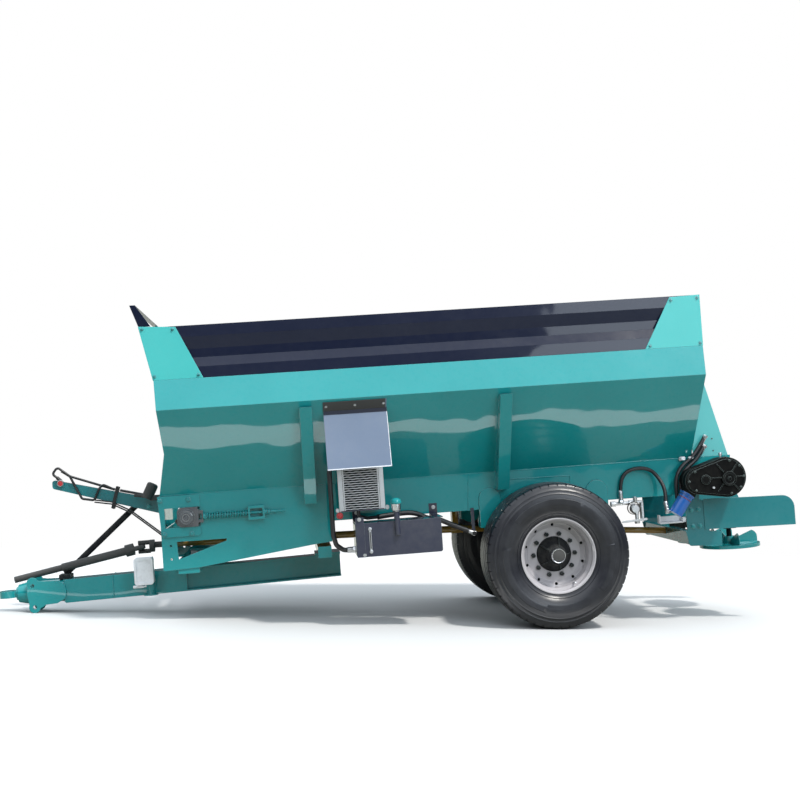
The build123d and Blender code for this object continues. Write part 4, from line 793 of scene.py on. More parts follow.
class SPREADER_OT_wheel_fittings(bpy.types.Operator):
    """Hub caps, brake guards that also stand as painted shade behind the vent holes, hub webs and
    tyre valves
    """

    bl_idname = "spreader.wheel_fittings"
    bl_label = "Wheel fittings"

    def execute(self, context):
        for side, end in SIDES:
            body, way = f"wheel_{end}", (0, side, 0)

            def out(distance):
                """Y of a place this far out from the tyre's middle."""
                return side * (HALF_TRACK + distance)

            # pressed cap: a flat, blank face inside a bright rolled ring
            nose, back = (0, out(0.178), 0), (0, out(-0.028), 0)
            fit_turned(f"hub_cap_{end}", "guard_plastic", "plastic",
                       ([(0, 2), (46, 2), (48, 1), (50, 0.5)], nose, way, 48), body=body)
            fit_turned(f"hub_ring_{end}", "hard_chrome", "chrome",
                       ([(48.5, 1.5), (50, 4.5), (53.5, 5.5), (56, 3), (57.5, -4), (58.5, -10)],
                        nose, way, 56), body=body)
            # painted shade: the brake guard is drawn wide and dark enough to fill the rim's vent
            # holes with the shade that lies behind them
            fit_turned(f"brake_guard_and_vent_shade_{end}", "gear_enamel", "dark_paint",
                       ([(190, 0), (254.5, 0), (254.5, 3), (190, 3), (190, 0)], back, way, 64),
                       body=body)
            # five webs that run down the hub's cone, thinner at their crest
            half_web, crest = 0.006, 0.7
            webs = bmesh.new()
            for i in range(5):
                turn = math.tau * i / 5
                spoke = Vector((math.cos(turn), 0, math.sin(turn)))
                across = Vector((-math.sin(turn), 0, math.cos(turn))) * half_web
                rows = []
                for radius, reach in ((0.066, 0.130), (0.078, 0.092), (0.108, 0.048),
                                      (0.130, 0.016)):
                    foot = spoke * radius + Vector((0, out(reach - 0.02), 0))
                    top = spoke * (radius + 0.006) + Vector((0, out(reach + 0.012), 0))
                    rows.append((foot - across, foot + across, top + across * crest,
                                 top - across * crest))
                skinned(webs, rows)
            fit_shape(f"hub_webs_{end}", webs, "gear_enamel", "cast", body, crisp=None)
            stem = bent_bar([(0.118, out(0.088), -0.228), (0.120, out(0.128), -0.226),
                             (0.122, out(0.158), -0.220)], 0.005)
            fit(f"valve_{end}", smooth(joined("valve", [stem], "bright_zinc")), body, "zinc")
        return {"FINISHED"}


def on_loop(distance, run, radius):
    """Place and turn on the chain floor's loop, at a distance along it."""
    bend = math.pi * radius
    distance %= 2 * (run + bend)
    if distance < run:
        return Vector((FRONT_SHAFT_X + distance, 0, SHAFT_Z + radius)), 0.0
    distance -= run
    if distance < bend:
        turn = distance / radius
        return Vector((REAR_SHAFT_X + radius * math.sin(turn), 0,
                       SHAFT_Z + radius * math.cos(turn))), turn
    distance -= bend
    if distance < run:
        return Vector((REAR_SHAFT_X - distance, 0, SHAFT_Z - radius)), math.pi
    turn = (distance - run) / radius
    return Vector((FRONT_SHAFT_X - radius * math.sin(turn), 0,
                   SHAFT_Z - radius * math.cos(turn))), math.pi + turn


class SPREADER_OT_apron(bpy.types.Operator):
    """Chain floor of round links and bevelled slats"""

    bl_idname = "spreader.apron"
    bl_label = "Chain floor"

    def execute(self, context):
        radius, gauge, slat_end, slat_count, cuts = 0.075, 0.480, 0.588, 30, 400
        run = REAR_SHAFT_X - FRONT_SHAFT_X
        loop = 2 * (run + math.pi * radius)
        links = 2 * round(loop / context.scene.spreader_sizes.chain_pitch / 2)
        meshes = []
        for side, _ in SIDES:
            route = bpy.data.meshes.new("loop")
            points = [on_loop(loop * i / cuts, run, radius)[0] + Vector((0, side * gauge, 0))
                      for i in range(cuts)]
            route.from_pydata(points, [(i, (i + 1) % cuts) for i in range(cuts)], [])
            chain = grown("Floor chain", route, "oiled_steel", {
                "Links": links, "Pitch": loop / links, "Wire": 0.0056})
            meshes.append(smooth(chain, 60.0))
        slats = bmesh.new()
        outline = [(-0.028, -0.015), (-0.028, 0.018), (-0.018, 0.025), (0.018, 0.025),
                   (0.028, 0.018), (0.028, -0.015), (0.021, -0.015), (0.018, 0.014),
                   (-0.018, 0.014), (-0.021, -0.015)]
        for i in range(slat_count):
            place, turn = on_loop((i + 0.5) * loop / slat_count, run, radius)
            lay = Matrix.Translation(place) @ Matrix.Rotation(turn, 4, "Y")
            skinned(slats, [[lay @ Vector((x, y, z)) for x, z in outline]
                            for y in (-slat_end, slat_end)])
        meshes.append(mesh_of(slats, "slats", "oiled_steel"))
        fit("chain_floor", joined("chain_floor", meshes, "oiled_steel"), "chassis", "chain",
            "apron_chain")
        return {"FINISHED"}


class SPREADER_OT_springs(bpy.types.Operator):
    """Wound take-up springs in place of the turned ones"""

    bl_idname = "spreader.springs"
    bl_label = "Take-up springs"

    def execute(self, context):
        sizes = context.scene.spreader_sizes
        start, end, rod_y = -2.739, -2.4085, 0.650
        places = [((start, side * rod_y, SHAFT_Z), (1.0, 0.0, 0.0)) for side, _ in SIDES]
        mesh = grown("Coil", marks(places), "body_enamel", {
            "Turns": sizes.coil_turns, "Radius": 0.0232, "Length": end - start,
            "Wire": sizes.coil_wire})
        fit("coils", smooth(mesh, 60.0), "chassis", "body_paint", "takeup_springs")
        return {"FINISHED"}


class SPREADER_OT_bolts(bpy.types.Operator):
    """Bolts, nuts and washers on the body and the frame"""

    bl_idname = "spreader.bolts"
    bl_label = "Bolts"

    def execute(self, context):
        flats = context.scene.spreader_sizes.bolt_flats
        head_part, small_part, gusset_inset, hood_lean = 0.62, 0.62, 0.006, 0.085
        large, small, dots = [], [], []
        for side, _ in SIDES:
            way = (0, side, 0)
            # take-up plates, legs of the spinner frame, spring hanger pins: each stands
            # this far out from the side plates
            for proud, places in (
                    (0.014, ((-3.100, 0.640), (-2.873, 0.637), (-3.078, 0.372), (-2.862, 0.366))),
                    (0.010, ((1.229, 0.246), (1.290, 0.248), (1.236, 0.110), (1.294, 0.111))),
                    (0.012, [(x, 0.274) for x in HANGERS_X])):
                large += [((x, side * (SIDE_Y + proud), z), way) for x, z in places]
            # gusset corners, on boards that lean in
            lean = Vector((0, side, TOP_LEAN)).normalized()
            small += [((x, side * (TOP_Y - gusset_inset - TOP_LEAN * (z - TOP_Z)), z), lean)
                      for x, z in ((-3.118, 1.985), (-2.885, 1.972), (-3.040, 1.612),
                                   (-2.705, 1.606), (1.080, 1.965), (1.298, 1.972),
                                   (0.872, 1.606), (1.284, 1.606))]
            # rear hood cheeks, which lean in too
            dots += [((x, side * (SIDE_Y - hood_lean * (z - SLOPE_Z)), z), way)
                     for x, z in ((1.461, 0.823), (1.462, 0.724))]
        # hose arm pivot
        large.append(((-3.252, -0.025, 0.581), LEFT))
        mesh = joined("bolts", [
            bolts(large, flats, flats * head_part, "body_enamel"),
            bolts(small, flats * small_part, 0.010, "body_enamel")], "body_enamel")
        fit("body_bolts", mesh, "chassis", "body_paint")
        fit("hood_screws", bolts(dots, 0.008, 0.004, "oiled_steel"), "chassis", "steel")
        # the gearbox cover's rim
        rim = around(WHEEL_END, 0.136, (-80, -40, 0, 40, 80))
        rim += around(PINION_END, 0.080, (110, 180, 250))
        fit("gearbox_bolts", bolts([((x, GEARBOX_Y, z), LEFT) for x, z in rim], 0.015, 0.009,
                                   "cast_enamel"), "chassis", "cast")
        # screws of the strip on the cooler cover, square to the slope
        z, out = 1.290, Vector((0, -1, -0.767)).normalized()
        screws = [((x, -half_width(z) - 0.0075, z), out) for x in (-1.745, -1.521, -1.300)]
        fit("cover_screws", bolts(screws, 0.014, 0.007, "bright_zinc"), "chassis", "zinc")
        return {"FINISHED"}


def fit_strips(name, kind, slot, *strips):
    """Strips of sheet: X from and to, (Y, Z) at the top and the foot, thickness."""
    shape = bmesh.new()
    for x_start, x_end, top, foot, thick in strips:
        out = Vector((0, foot[1] - top[1], top[0] - foot[0])).normalized() * thick
        section = [Vector((0, *top)), Vector((0, *foot))]
        section += [corner + out for corner in section[::-1]]
        skinned(shape, [[corner + Vector((x, 0, 0)) for corner in section]
                        for x in (x_start, x_end)])
    fit_shape(name, shape, kind, slot, crisp=None)


class SPREADER_OT_cooler(bpy.types.Operator):
    """Cooler fins, rails and clips, its drain cap, and the trim on its cover"""

    bl_idname = "spreader.cooler"
    bl_label = "Oil cooler"

    def execute(self, context):
        x0, x1, z0, z1 = -1.688, -1.330, 0.472, 0.868
        y0, y1 = -0.960, -0.908
        header = 0.047
        rows, waves, steps = 22, 46, 24
        pitch = (z1 - z0) / rows

        def across(part):
            """X between the two headers."""
            return x0 + header + (x1 - x0 - 2 * header) * part

        fins = bmesh.new()
        for row in range(rows - 1):
            low = z0 + (row + 0.75) * pitch
            previous = None
            for i in range(waves + 1):
                z = low if i % 2 else low + pitch / 2
                pair = [fins.verts.new((across(i / waves), y, z)) for y in (y0 + 0.012, y1)]
                if previous:
                    fins.faces.new((previous[0], pair[0], pair[1], previous[1]))
                previous = pair
        mesh = bpy.data.meshes.new("fins")
        fins.to_mesh(mesh)
        fins.free()
        mesh.materials.append(finish("core_black"))
        holder = bpy.data.objects.new("fins", mesh)
        context.scene.collection.objects.link(holder)
        holder.modifiers.new("Sheet", "SOLIDIFY").thickness = 0.0008
        fit("cooler_fins", plain(holder), "chassis", "aluminium")
        rails = bmesh.new()
        for x, inner in ((x0, x0 + 0.036), (x1 - 0.034, x1 - 0.0475)):
            pressed_block(rails, (x - 0.001, y0 - 0.004, z0 - 0.006),
                          (x + 0.035, y0 + 0.02, z1), 0.003)
            pressed_block(rails, (inner, y0 - 0.002, z0 - 0.004),
                          (inner + 0.0115, y0 + 0.02, z1), 0.002)
        # the flat bars between the rows of fins, rolled a little unevenly
        y_out, y_in, height = y0 + 0.001, y0 + 0.0065, 0.0055
        for row in range(rows):
            z = z0 + (row + 0.30) * pitch
            lines = []
            for i in range(steps + 1):
                x, foot = across(i / steps), z + 0.0016 * math.sin(i * 1.3 + row * 2.1)
                lines.append(((x, y_in, foot), (x, y_out, foot), (x, y_out, foot + height),
                              (x, y_in, foot + height)))
            skinned(rails, lines)
        for x in (x0 - 0.030, x1 + 0.004):
            pressed_block(rails, (x, y0 - 0.012, z0 - 0.012),
                          (x + 0.026, y0 + 0.03, z0 + 0.022), 0.006)
        fit_shape("cooler_rails", rails, "mill_aluminium", "aluminium")
        # dark strip that clamps the cover to the body; below it a band of painted shade at the
        # cover's bend, and painted highlights along the cover's edges
        clamp_top, clamp_foot = (-half_width(1.324) - 0.0044, 1.324), (-1.0672, 1.2575)
        flap_top, flap_foot = Vector((-1.0680, 1.2590)), Vector((-1.2012, 0.8005))
        shade_band_foot, highlight_top = (flap_top.lerp(flap_foot, part) for part in (0.075, 0.982))
        fit_strips("cover_strip", "guard_plastic", "dark_paint",
                   (-1.769, -1.286, clamp_top, clamp_foot, 0.004))
        # painted shade: a thin dark sheet on the flap below the strip stands for the shade and
        # dark reflection in the bend
        fit_strips("cover_bend_painted_shade", "board_enamel", "board_paint",
                   (-1.768, -1.275, flap_top, shade_band_foot, 0.0008))
        # painted highlight: thin bright strips on the flap's side and foot stand for the light
        # that its turned edges catch
        fit_strips("cover_edge_highlights", "mill_aluminium", "aluminium",
                   (-1.2795, -1.2745, shade_band_foot, flap_foot, 0.0012),
                   (-1.7680, -1.2745, highlight_top, flap_foot, 0.0012))
        fit_turned("drain_cap", "red_plastic", "plastic",
                   ([(0, 40), (10, 40), (14, 36), (14, 24), (24, 22), (26, 18), (26, 4), (20, 0),
                     (0, 0)],
                    (-1.690, -0.955, 0.440), (0, -1, -0.3), 20))
        return {"FINISHED"}


class SPREADER_OT_tank(bpy.types.Operator):
    """Level gauge, nuts, filler collar and cap on the oil tank"""

    bl_idname = "spreader.tank"
    bl_label = "Oil tank fittings"

    def execute(self, context):
        gauge_x, filler = -1.466, (-1.250, -1.028, 0.452)
        gauge = bmesh.new()
        pressed_block(gauge, (gauge_x - 0.0085, TANK_Y - 0.008, 0.140),
                      (gauge_x + 0.0085, TANK_Y, 0.325), 0.003)
        for z in (0.145, 0.320):
            turned(gauge, [(0, 15), (7.5, 15), (9.5, 12), (9.5, 9), (13.5, 8), (13.5, 0)],
                   (gauge_x, TANK_Y, z), LEFT, 20)
        fit_shape("level_gauge", gauge, "mill_aluminium", "aluminium")
        window = bmesh.new()
        pressed_block(window, (gauge_x - 0.0045, TANK_Y - 0.0105, 0.168),
                      (gauge_x + 0.0045, TANK_Y - 0.007, 0.298), 0.0015)
        fit_shape("gauge_window", window, "guard_plastic", "plastic")
        nuts = [(place, LEFT) for place in (
            (-1.545, -1.0262, 0.400), (-0.915, -0.626, 0.430), (-1.542, -0.626, 0.430),
            (-1.520, TANK_Y, 0.122))]
        fit("tank_nuts", bolts(nuts, 0.022, 0.010, "bright_zinc"), "chassis", "zinc")
        fit_turned("filler_collar", "hard_chrome", "chrome",
                   ([(0, -10), (26, -10), (31, -4), (37, 0), (37, 48), (34, 52), (0, 52)],
                    filler, UP, 40))
        fit_turned("filler_cap", "body_enamel", "body_paint",
                   ([(0, 50), (39, 50), (41.5, 54), (41.5, 66), (37, 82), (24, 92), (0, 96.5)],
                    filler, UP, 40))
        return {"FINISHED"}


class SPREADER_OT_rear_hoses(bpy.types.Operator):
    """Smooth hoses to the motor and the gate in place of the plain ones"""

    bl_idname = "spreader.rear_hoses"
    bl_label = "Rear hoses"

    def execute(self, context):
        # hose that arches over to the motor
        meshes = [bent_bar([(0.639, -0.650, 0.400), (0.639, -0.650, 0.530),
                            (0.720, -0.652, 0.624), (0.890, -0.665, 0.622),
                            (0.962, -0.710, 0.525), (0.990, -0.755, 0.420),
                            (0.976, -0.768, 0.330)], 0.0155)]
        # two lines up round the gearbox, one beside the other
        for route in (
                ((1.098, 0.355), (1.096, 0.450), (1.112, 0.545), (1.170, 0.622), (1.262, 0.680),
                 (1.338, 0.775), (1.384, 0.842)),
                ((1.135, 0.355), (1.134, 0.450), (1.146, 0.525), (1.200, 0.596), (1.284, 0.650),
                 (1.335, 0.712), (1.3725, 0.763))):
            meshes.append(bent_bar([(x, -0.700 + 0.05 * i / 6, z)
                                    for i, (x, z) in enumerate(route)], 0.0165))
        # thick sleeve on the return line, past the tank
        meshes.append(bent_bar([(-1.383, -0.810, 0.395), (-1.177, -0.700, 0.409),
                                (-1.060, -0.672, 0.396), (-0.968, -0.660, 0.343),
                                (-0.880, -0.655, 0.332), (-0.814, -0.650, 0.297),
                                (-0.640, -0.650, 0.216)], 0.0205))
        mesh = smooth(joined("rear_lines", meshes, "hose_rubber"), 50.0)
        fit("rear_lines", mesh, "chassis", "rubber", "rear_hoses")
        return {"FINISHED"}


def ferrule(shape, foot, way, reach, radius):
    """Crimped hose end: a sleeve with pressed grooves and a hexagon nut, in millimetres."""
    sleeve = [(0.7, 0), (1, 2 / reach), (1, 0.22), (0.9, 0.25), (0.9, 0.32), (1, 0.35), (1, 0.55),
              (0.9, 0.58), (0.9, 0.65), (1, 0.68), (1, 0.9), (0.75, 1)]
    turned(shape, [(radius * r, reach * h) for r, h in sleeve], foot, way, 24)
    nut = [(0, -22), (1.12, -22), (1.25, -19), (1.25, -4), (1.12, 0), (0, 0)]
    turned(shape, [(radius * r, h) for r, h in nut], foot, way, 6)


class SPREADER_OT_hose_fittings(bpy.types.Operator):
    """Crimped ends, pipes, taps and caps on the hoses, and the wiring tray"""

    bl_idname = "spreader.hose_fittings"
    bl_label = "Hose fittings"

    def execute(self, context):
        ends = bmesh.new()
        # foot, way, length and radius of every crimped end
        for foot, way, reach, radius in (
                ((0.639, -0.650, 0.372), (0, 0, 1), 80, 19),
                ((0.986, -0.770, 0.266), (-0.15, 0, 1), 80, 18),
                ((-1.690, -0.930, 0.826), (-1, 0, 0), 30, 22.5),
                ((-1.602, -0.880, 0.160), (-1, 0, 0), 45, 23.5),
                ((-0.602, -0.650, 0.1985), (-0.9, 0, 0.42), 62, 18),
                ((1.3838, -0.650, 0.836), (-0.50, 0, -0.87), 62, 17.5),
                ((1.3725, -0.650, 0.757), (-0.55, 0, -0.83), 62, 17.5)):
            ferrule(ends, foot, way, reach, radius)
        for profile, foot, way, steps in (
                # steel pipe under the side plate
                ([(0, 0), (20, 0), (24, 4), (24, 40), (16, 44), (16, 150), (23, 154), (23, 190),
                  (0, 190)],
                 (0.556, -0.625, 0.343), (1, 0, 0), 6),
                # bolt on its bracket, the ball valve under it and the pipe's hanging end
                ([(0, 0), (16, 0), (17.5, 3), (17.5, 36), (13, 42), (0, 42)],
                 (0.760, -0.640, 0.350), UP, 20),
                ([(0, 0), (30, 0), (40, 10), (43, 30), (40, 48), (30, 58), (0, 58)],
                 (0.757, -0.598, 0.292), LEFT, 28),
                ([(0, 0), (19, 0), (22, 4), (22, 24), (15, 28), (15, 72), (20, 76), (20, 94),
                  (0, 94)],
                 (0.766, -0.640, 0.170), UP, 6),
                # bleed tap on the side plate
                ([(0, 0), (18, 0), (20, 3), (20, 16), (10, 20), (10, 36), (0, 36)],
                 (1.174, -0.624, 0.673), LEFT, 6)):
            turned(ends, profile, foot, way, steps)
        for low, high, round_off in (
                # bracket of the pipe
                ((0.728, -0.650, 0.340), (0.824, -0.590, 0.356), 0.004),
                ((0.806, -0.650, 0.192), (0.824, -0.590, 0.350), 0.004),
                # clamp round the gate lines
                ((1.162, -0.672, 0.664), (1.200, -0.660, 0.692), 0.003),
                ((1.225, -0.682, 0.668), (1.270, -0.660, 0.690), 0.004)):
            pressed_block(ends, low, high, round_off)
        fit_shape("hose_ends", ends, "bright_zinc", "zinc")
        lever = bmesh.new()
        plate(lever, [(0.628, 0.190), (0.640, 0.185), (0.835, 0.193), (0.848, 0.203),
                      (0.838, 0.215), (0.820, 0.209), (0.636, 0.202)], -0.676, -0.668, 0.002)
        fit_shape("tap_lever", lever, "bright_zinc", "zinc", crisp=None)
        fit_turned("valve_clip", "oiled_steel", "steel",
                   ([(48, 0), (54, 0), (54, 16), (48, 16), (48, 0)],
                    (0.742, -0.655, 0.300), (0, 1, 0), 40))
        tray = bmesh.new()
        for low, high, round_off in (
                ((0.966, -0.618, 0.146), (1.166, -0.560, 0.160), 0.003),
                ((0.960, -0.618, 0.150), (0.970, -0.560, 0.222), 0.003),
                ((0.970, -0.566, 0.160), (1.160, -0.560, 0.206), 0.002),
                ((1.156, -0.618, 0.150), (1.188, -0.560, 0.192), 0.003)):
            pressed_block(tray, low, high, round_off)
        fit_shape("wiring_tray", tray, "case_plastic", "plastic")
        coupler = (-3.966, -0.0625, 0.826)
        fit_turned("coupler_cap", "red_plastic", "plastic",
                   ([(0, 6), (20, 6), (25, 2), (25.5, -10), (22, -14)], coupler, LEFT, 28))
        fit_turned("coupler_rim", "bright_zinc", "zinc",
                   ([(25, -12), (27.5, -10), (28, 4), (25.5, 7.5), (21.5, 7.5)],
                    coupler, LEFT, 28))
        return {"FINISHED"}


class SPREADER_OT_bearings(bpy.types.Operator):
    """Turned caps on the housings of the front shaft"""

    bl_idname = "spreader.bearings"
    bl_label = "Bearing caps"

    def execute(self, context):
        profile = [(0, 21.5), (6, 21.5), (7, 18.5), (10, 18.5), (11, 21.5), (24, 20.5),
                   (25.5, 17.5), (29, 17.5), (30.5, 20), (41, 18.5), (42.5, 15), (46, 15),
                   (47.5, 17), (57, 14), (60, 8), (60, 0)]
        for side, end in SIDES:
            fit_turned(f"bearing_cap_{end}", "grey_iron", "cast",
                       (profile, (FRONT_SHAFT_X, side * 0.672, SHAFT_Z), (0, side, 0), 48),
                       crisp=20.0)
        return {"FINISHED"}


class SPREADER_OT_gearbox(bpy.types.Operator):
    """Ribs, bosses and plugs on the gearbox casting, and the motor's ring"""

    bl_idname = "spreader.gearbox"
    bl_label = "Gearbox casting"

    def execute(self, context):
        cast = bmesh.new()
        middle = Vector((WHEEL_END[0], GEARBOX_Y, WHEEL_END[1]))
        for turn in (0, 52, 128, 180, 232, 308):
            way = Vector((math.cos(math.radians(turn)), 0, math.sin(math.radians(turn))))
            across = Vector((-way.z, 0, way.x)) * 0.005
            start, end = middle + way * 0.055, middle + way * 0.142
            # a rib that gets lower towards the rim
            skinned(cast, [[place + Vector((0, out * low, 0)) for place, low in (
                (start - across, 1.0), (start + across, 1.0), (end + across, 0.4),
                (end - across, 0.4))] for out in (0.0, -0.012)])
        turned(cast, [(0, 36), (13, 36), (16, 33), (16, 24), (40, 24), (44, 27), (56, 27),
                      (60, 23), (66, 0)], (REAR_SHAFT_X, GEARBOX_Y, SHAFT_Z), LEFT, 40)
        turned(cast, [(0, 14), (30, 14), (34, 10), (40, 10), (46, 0)],
                     (1.292, GEARBOX_Y, 0.500), LEFT, 32)
        # joint flange round the middle of the casting
        outline = around(WHEEL_END, 0.166, [-88 + 178 * i / 20 for i in range(21)])
        outline += around(PINION_END, 0.110, [92 + 176 * i / 14 for i in range(15)])
        plate(cast, outline, -0.782, -0.768, 0.003)
        fit_shape("gearbox_ribs", cast, "cast_enamel", "cast", crisp=30.0)
        fit_turned("gearbox_plugs", "bright_zinc", "zinc",
                   ([(0, 14), (10, 14), (12, 11), (12, 0)],
                    (1.352, GEARBOX_Y, 0.432), LEFT, 6),
                   ([(0, 40), (12, 40), (14, 34), (14, 14), (9, 12), (9, 0)],
                    (1.452, -0.800, 0.669), UP, 12))
        # ring round the motor, part of the way down its axis
        axis, ring_at = Vector((-0.588, 0, -0.809)), 0.168
        start = Vector((PINION_END[0], -0.775, PINION_END[1]))
        fit_turned("motor_band", "ring_enamel", "motor_paint",
                   ([(57.5, 0), (60, 1), (60, 6), (57.5, 7)],
                    start + axis * ring_at, axis, 48))
        return {"FINISHED"}


class SPREADER_OT_welds(bpy.types.Operator):
    """Weld beads along the ribs, side plates, spring hangers and drawbar"""

    bl_idname = "spreader.welds"
    bl_label = "Weld beads"

    def execute(self, context):
        lines = []
        for side, _ in SIDES:
            y = side * SIDE_Y
            # foot of the slope along the side plates
            lines.append([(-3.095, y, SLOPE_Z), (1.258, y, SLOPE_Z)])
            # both edges of each box rib
            lines += [[(x, side * half_width(1.290), 1.290), (x, y, SLOPE_Z), (x, y, 0.540)]
                      for rib in (-1.903, -0.341) for x in (rib - 0.0475, rib + 0.0475)]
            # seams of the plates let into the side plates
            lines.append([(-0.262, y, 0.610), (0.233, y, 0.604), (0.230, y, 0.545)])
            lines.append([(-0.604, y, 0.664), (-0.615, y, 0.610), (-0.628, y, 0.378)])
            # round the tops of the spring hangers
            for x in HANGERS_X:
                arc = around((x, 0.462), 0.089, range(0, 181, 15))
                lines.append([(px, y, pz) for px, pz in (
                    (x + 0.089, 0.385), *arc, (x - 0.089, 0.385))])
        # hitch plates on the drawbar, which rises a little to the rear
        for x in (-3.580, -3.980):
            rise = 0.0187 * (x + 3.976)
            lines += [[(x, y, -0.160 + rise), (x, y, 0.030 + rise)] for y in (-0.0955, 0.0955)]
        points, edges = [], []
        for line in lines:
            edges += [(i, i + 1) for i in range(len(points), len(points) + len(line) - 1)]
            points += line
        mesh = bpy.data.meshes.new("lines")
        mesh.from_pydata(points, edges, [])
        bead = grown("Weld bead", mesh, "body_enamel", {
            "Bead": context.scene.spreader_sizes.weld, "Ripple": 0.012})
        fit("weld_beads", smooth(bead, 60.0), "chassis", "body_paint")
        return {"FINISHED"}


def studio_floor(tree, pale_tint):
    """Surface of matt studio paint with faint scuffs, white beyond the machine's shadow."""
    ray = add(tree, "ShaderNodeLightPath").outputs["Is Camera Ray"]
    place = add(tree, "ShaderNodeTexCoord").outputs["Object"]
    scuff = add(tree, "ShaderNodeTexNoise", {"Vector": place, "Scale": 0.8, "Detail": 4.0})
    even = add(tree, "ShaderNodeMapRange", {"Value": scuff, "To Min": 0.985, "To Max": 1.0})
    pale = add(tree, "ShaderNodeHueSaturation", {"Color": pale_tint, "Value": even})
    # the object is lit by a greyer floor than the one the camera sees
    tone = add(tree, "ShaderNodeMix", {0: ray, 6: linear("#95968F"), 7: pale}, data_type="RGBA")
    matt = add(tree, "ShaderNodeBsdfDiffuse", {"Color": tone.outputs[2]})
    # past the machine's shadow it fades into the white backdrop
    reach = add(tree, "ShaderNodeVectorMath", {0: place}, operation="LENGTH")
    far = add(tree, "ShaderNodeMapRange", {
        "Value": reach.outputs["Value"], "From Min": 4.0, "From Max": 8.0},
        interpolation_type="SMOOTHSTEP")
    fade = add(tree, "ShaderNodeMath", {0: far, 1: ray}, operation="MULTIPLY")
    blank = add(tree, "ShaderNodeEmission", {"Color": (1.0, 1.0, 1.0, 1.0)})
    return add(tree, "ShaderNodeMixShader", {0: fade, 1: matt, 2: blank})


def studio_sky(tree):
    """Surface of a world that is dark round the horizon and bright above, white to the camera."""
    ray = add(tree, "ShaderNodeLightPath").outputs["Is Camera Ray"]
    way = add(tree, "ShaderNodeTexCoord").outputs["Generated"]
    part = add(tree, "ShaderNodeSeparateXYZ", {0: way})
    sky = add(tree, "ShaderNodeMapRange", {
        "Value": part.outputs["Z"], "From Min": 0.18, "From Max": 0.62,
        "To Min": 0.10, "To Max": 1.75}, interpolation_type="SMOOTHSTEP")
    soft = add(tree, "ShaderNodeBackground", {"Color": (0.89, 0.95, 1.0, 1.0), "Strength": sky})
    white = add(tree, "ShaderNodeBackground", {"Color": (1.0, 1.0, 1.0, 1.0), "Strength": 1.0})
    return add(tree, "ShaderNodeMixShader", {0: ray, 1: soft, 2: white})


def lamp(name, kind, origin, way, hidden=(), **settings):
    """Lamp at a point, its back to a direction, hidden from some kinds of ray."""
    light = bpy.data.lights.new(name, kind)
    for key, value in settings.items():
        setattr(light, key, value)
    holder = bpy.data.objects.new(name, light)
    holder.matrix_world = facing(origin, way)
    for kind_of_ray in hidden:
        setattr(holder, f"visible_{kind_of_ray}", False)
    bpy.context.scene.collection.objects.link(holder)


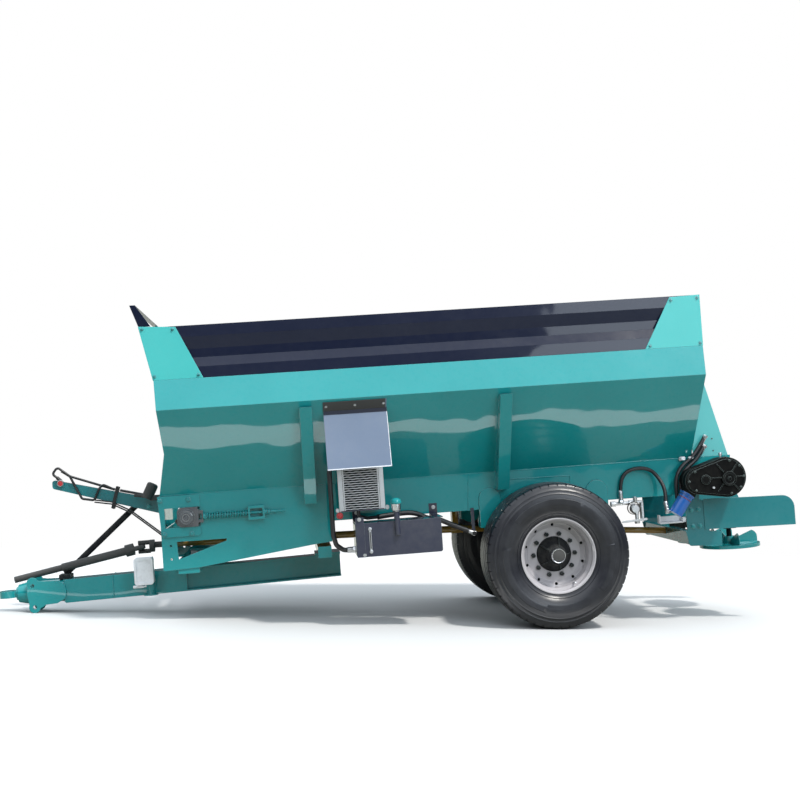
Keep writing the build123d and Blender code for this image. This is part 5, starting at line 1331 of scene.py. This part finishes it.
class SPREADER_OT_stage(bpy.types.Operator):
    """Floor, backdrop light, lamps and camera"""

    bl_idname = "spreader.stage"
    bl_label = "Studio"

    def execute(self, context):
        scene = context.scene
        scene.view_settings.view_transform = "Standard"
        floor = bmesh.new()
        bmesh.ops.create_grid(floor, x_segments=8, y_segments=8, size=60.0)
        mesh = bpy.data.meshes.new("studio_floor")
        floor.to_mesh(mesh)
        floor.free()
        paint = bpy.data.materials.new("studio_paint")
        mesh.materials.append(paint)
        stage = bpy.data.objects.new("studio_floor", mesh)
        scene.collection.objects.link(stage)
        stage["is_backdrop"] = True

        scene.world = scene.world or bpy.data.worlds.new("Studio")
        for owner in (paint, scene.world):
            owner.use_nodes = True
            owner.node_tree.nodes.clear()
        add(paint.node_tree, "ShaderNodeOutputMaterial", {
            "Surface": studio_floor(paint.node_tree, scene.spreader_colours.floor)})
        add(scene.world.node_tree, "ShaderNodeOutputWorld", {
            "Surface": studio_sky(scene.world.node_tree)})

        # the sun, high over the rear left corner
        lamp("sun", "SUN", (6.0, -7.0, 12.0), (0.38, -0.42, 0.98), energy=2.8,
             angle=math.radians(5.0), color=(1.0, 0.965, 0.90))
        # light thrown back by the open yard, low over the rear left corner
        lamp("yard", "AREA", (6.9, -16.4, 5.8), (0.43, -0.85, 0.31), ("camera",), shape="DISK",
             size=6.4, energy=660.0, color=(0.83, 0.92, 1.0))
        # a strip light on the floor draws one pale line along the sloping sheet
        lamp("strip", "AREA", (-0.3, -1.37, 0.01), (0.0, 0.0, -1.0), ("camera", "diffuse"),
             shape="RECTANGLE", size=8.0, size_y=0.16, energy=11.5)

        camera = bpy.data.cameras.new("view")
        camera.sensor_width = 36.0
        camera.lens = 55.64
        holder = bpy.data.objects.new("view", camera)
        holder.location = (-0.9505, -10.6412, 1.4379)
        holder.rotation_euler = [math.radians(a) for a in (92.036, -0.730, -5.290)]
        scene.collection.objects.link(holder)
        scene.camera = holder
        return {"FINISHED"}


OPERATORS = (SPREADER_OT_paint, SPREADER_OT_tyres, SPREADER_OT_wheel_fittings,
             SPREADER_OT_apron, SPREADER_OT_springs, SPREADER_OT_bolts, SPREADER_OT_cooler,
             SPREADER_OT_tank, SPREADER_OT_rear_hoses, SPREADER_OT_hose_fittings,
             SPREADER_OT_bearings, SPREADER_OT_gearbox, SPREADER_OT_welds, SPREADER_OT_stage)


class SPREADER_PT_panel(bpy.types.Panel):
    """Steps and settings of the spreader"""

    bl_idname = "SPREADER_PT_panel"
    bl_label = "Manure spreader"
    bl_space_type = "VIEW_3D"
    bl_region_type = "UI"
    bl_category = "Spreader"

    def draw(self, context):
        layout = self.layout
        for operator in OPERATORS:
            layout.operator(operator.bl_idname)
        for settings in (context.scene.spreader_sizes, context.scene.spreader_colours):
            box = layout.box()
            for name in settings.__annotations__:
                box.prop(settings, name)


CLASSES = (SpreaderColours, SpreaderSizes, *OPERATORS, SPREADER_PT_panel)


def register():
    """Register the settings, the operators and the panel."""
    for item in CLASSES:
        bpy.utils.register_class(item)
    bpy.types.Scene.spreader_colours = bpy.props.PointerProperty(type=SpreaderColours)
    bpy.types.Scene.spreader_sizes = bpy.props.PointerProperty(type=SpreaderSizes)


def unregister():
    """Take the settings, the operators and the panel away again."""
    del bpy.types.Scene.spreader_sizes
    del bpy.types.Scene.spreader_colours
    for item in reversed(CLASSES):
        bpy.utils.unregister_class(item)


def corners(box):
    """Two corners as plain lists."""
    return [[float(value) for value in corner] for corner in box]


def main():
    register()
    for operator in OPERATORS:
        group, name = operator.bl_idname.split(".")
        getattr(getattr(bpy.ops, group), name)()
    {"cad": corners(cad_box), "visual": corners(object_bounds())}


if __name__ == "__main__":
    main()
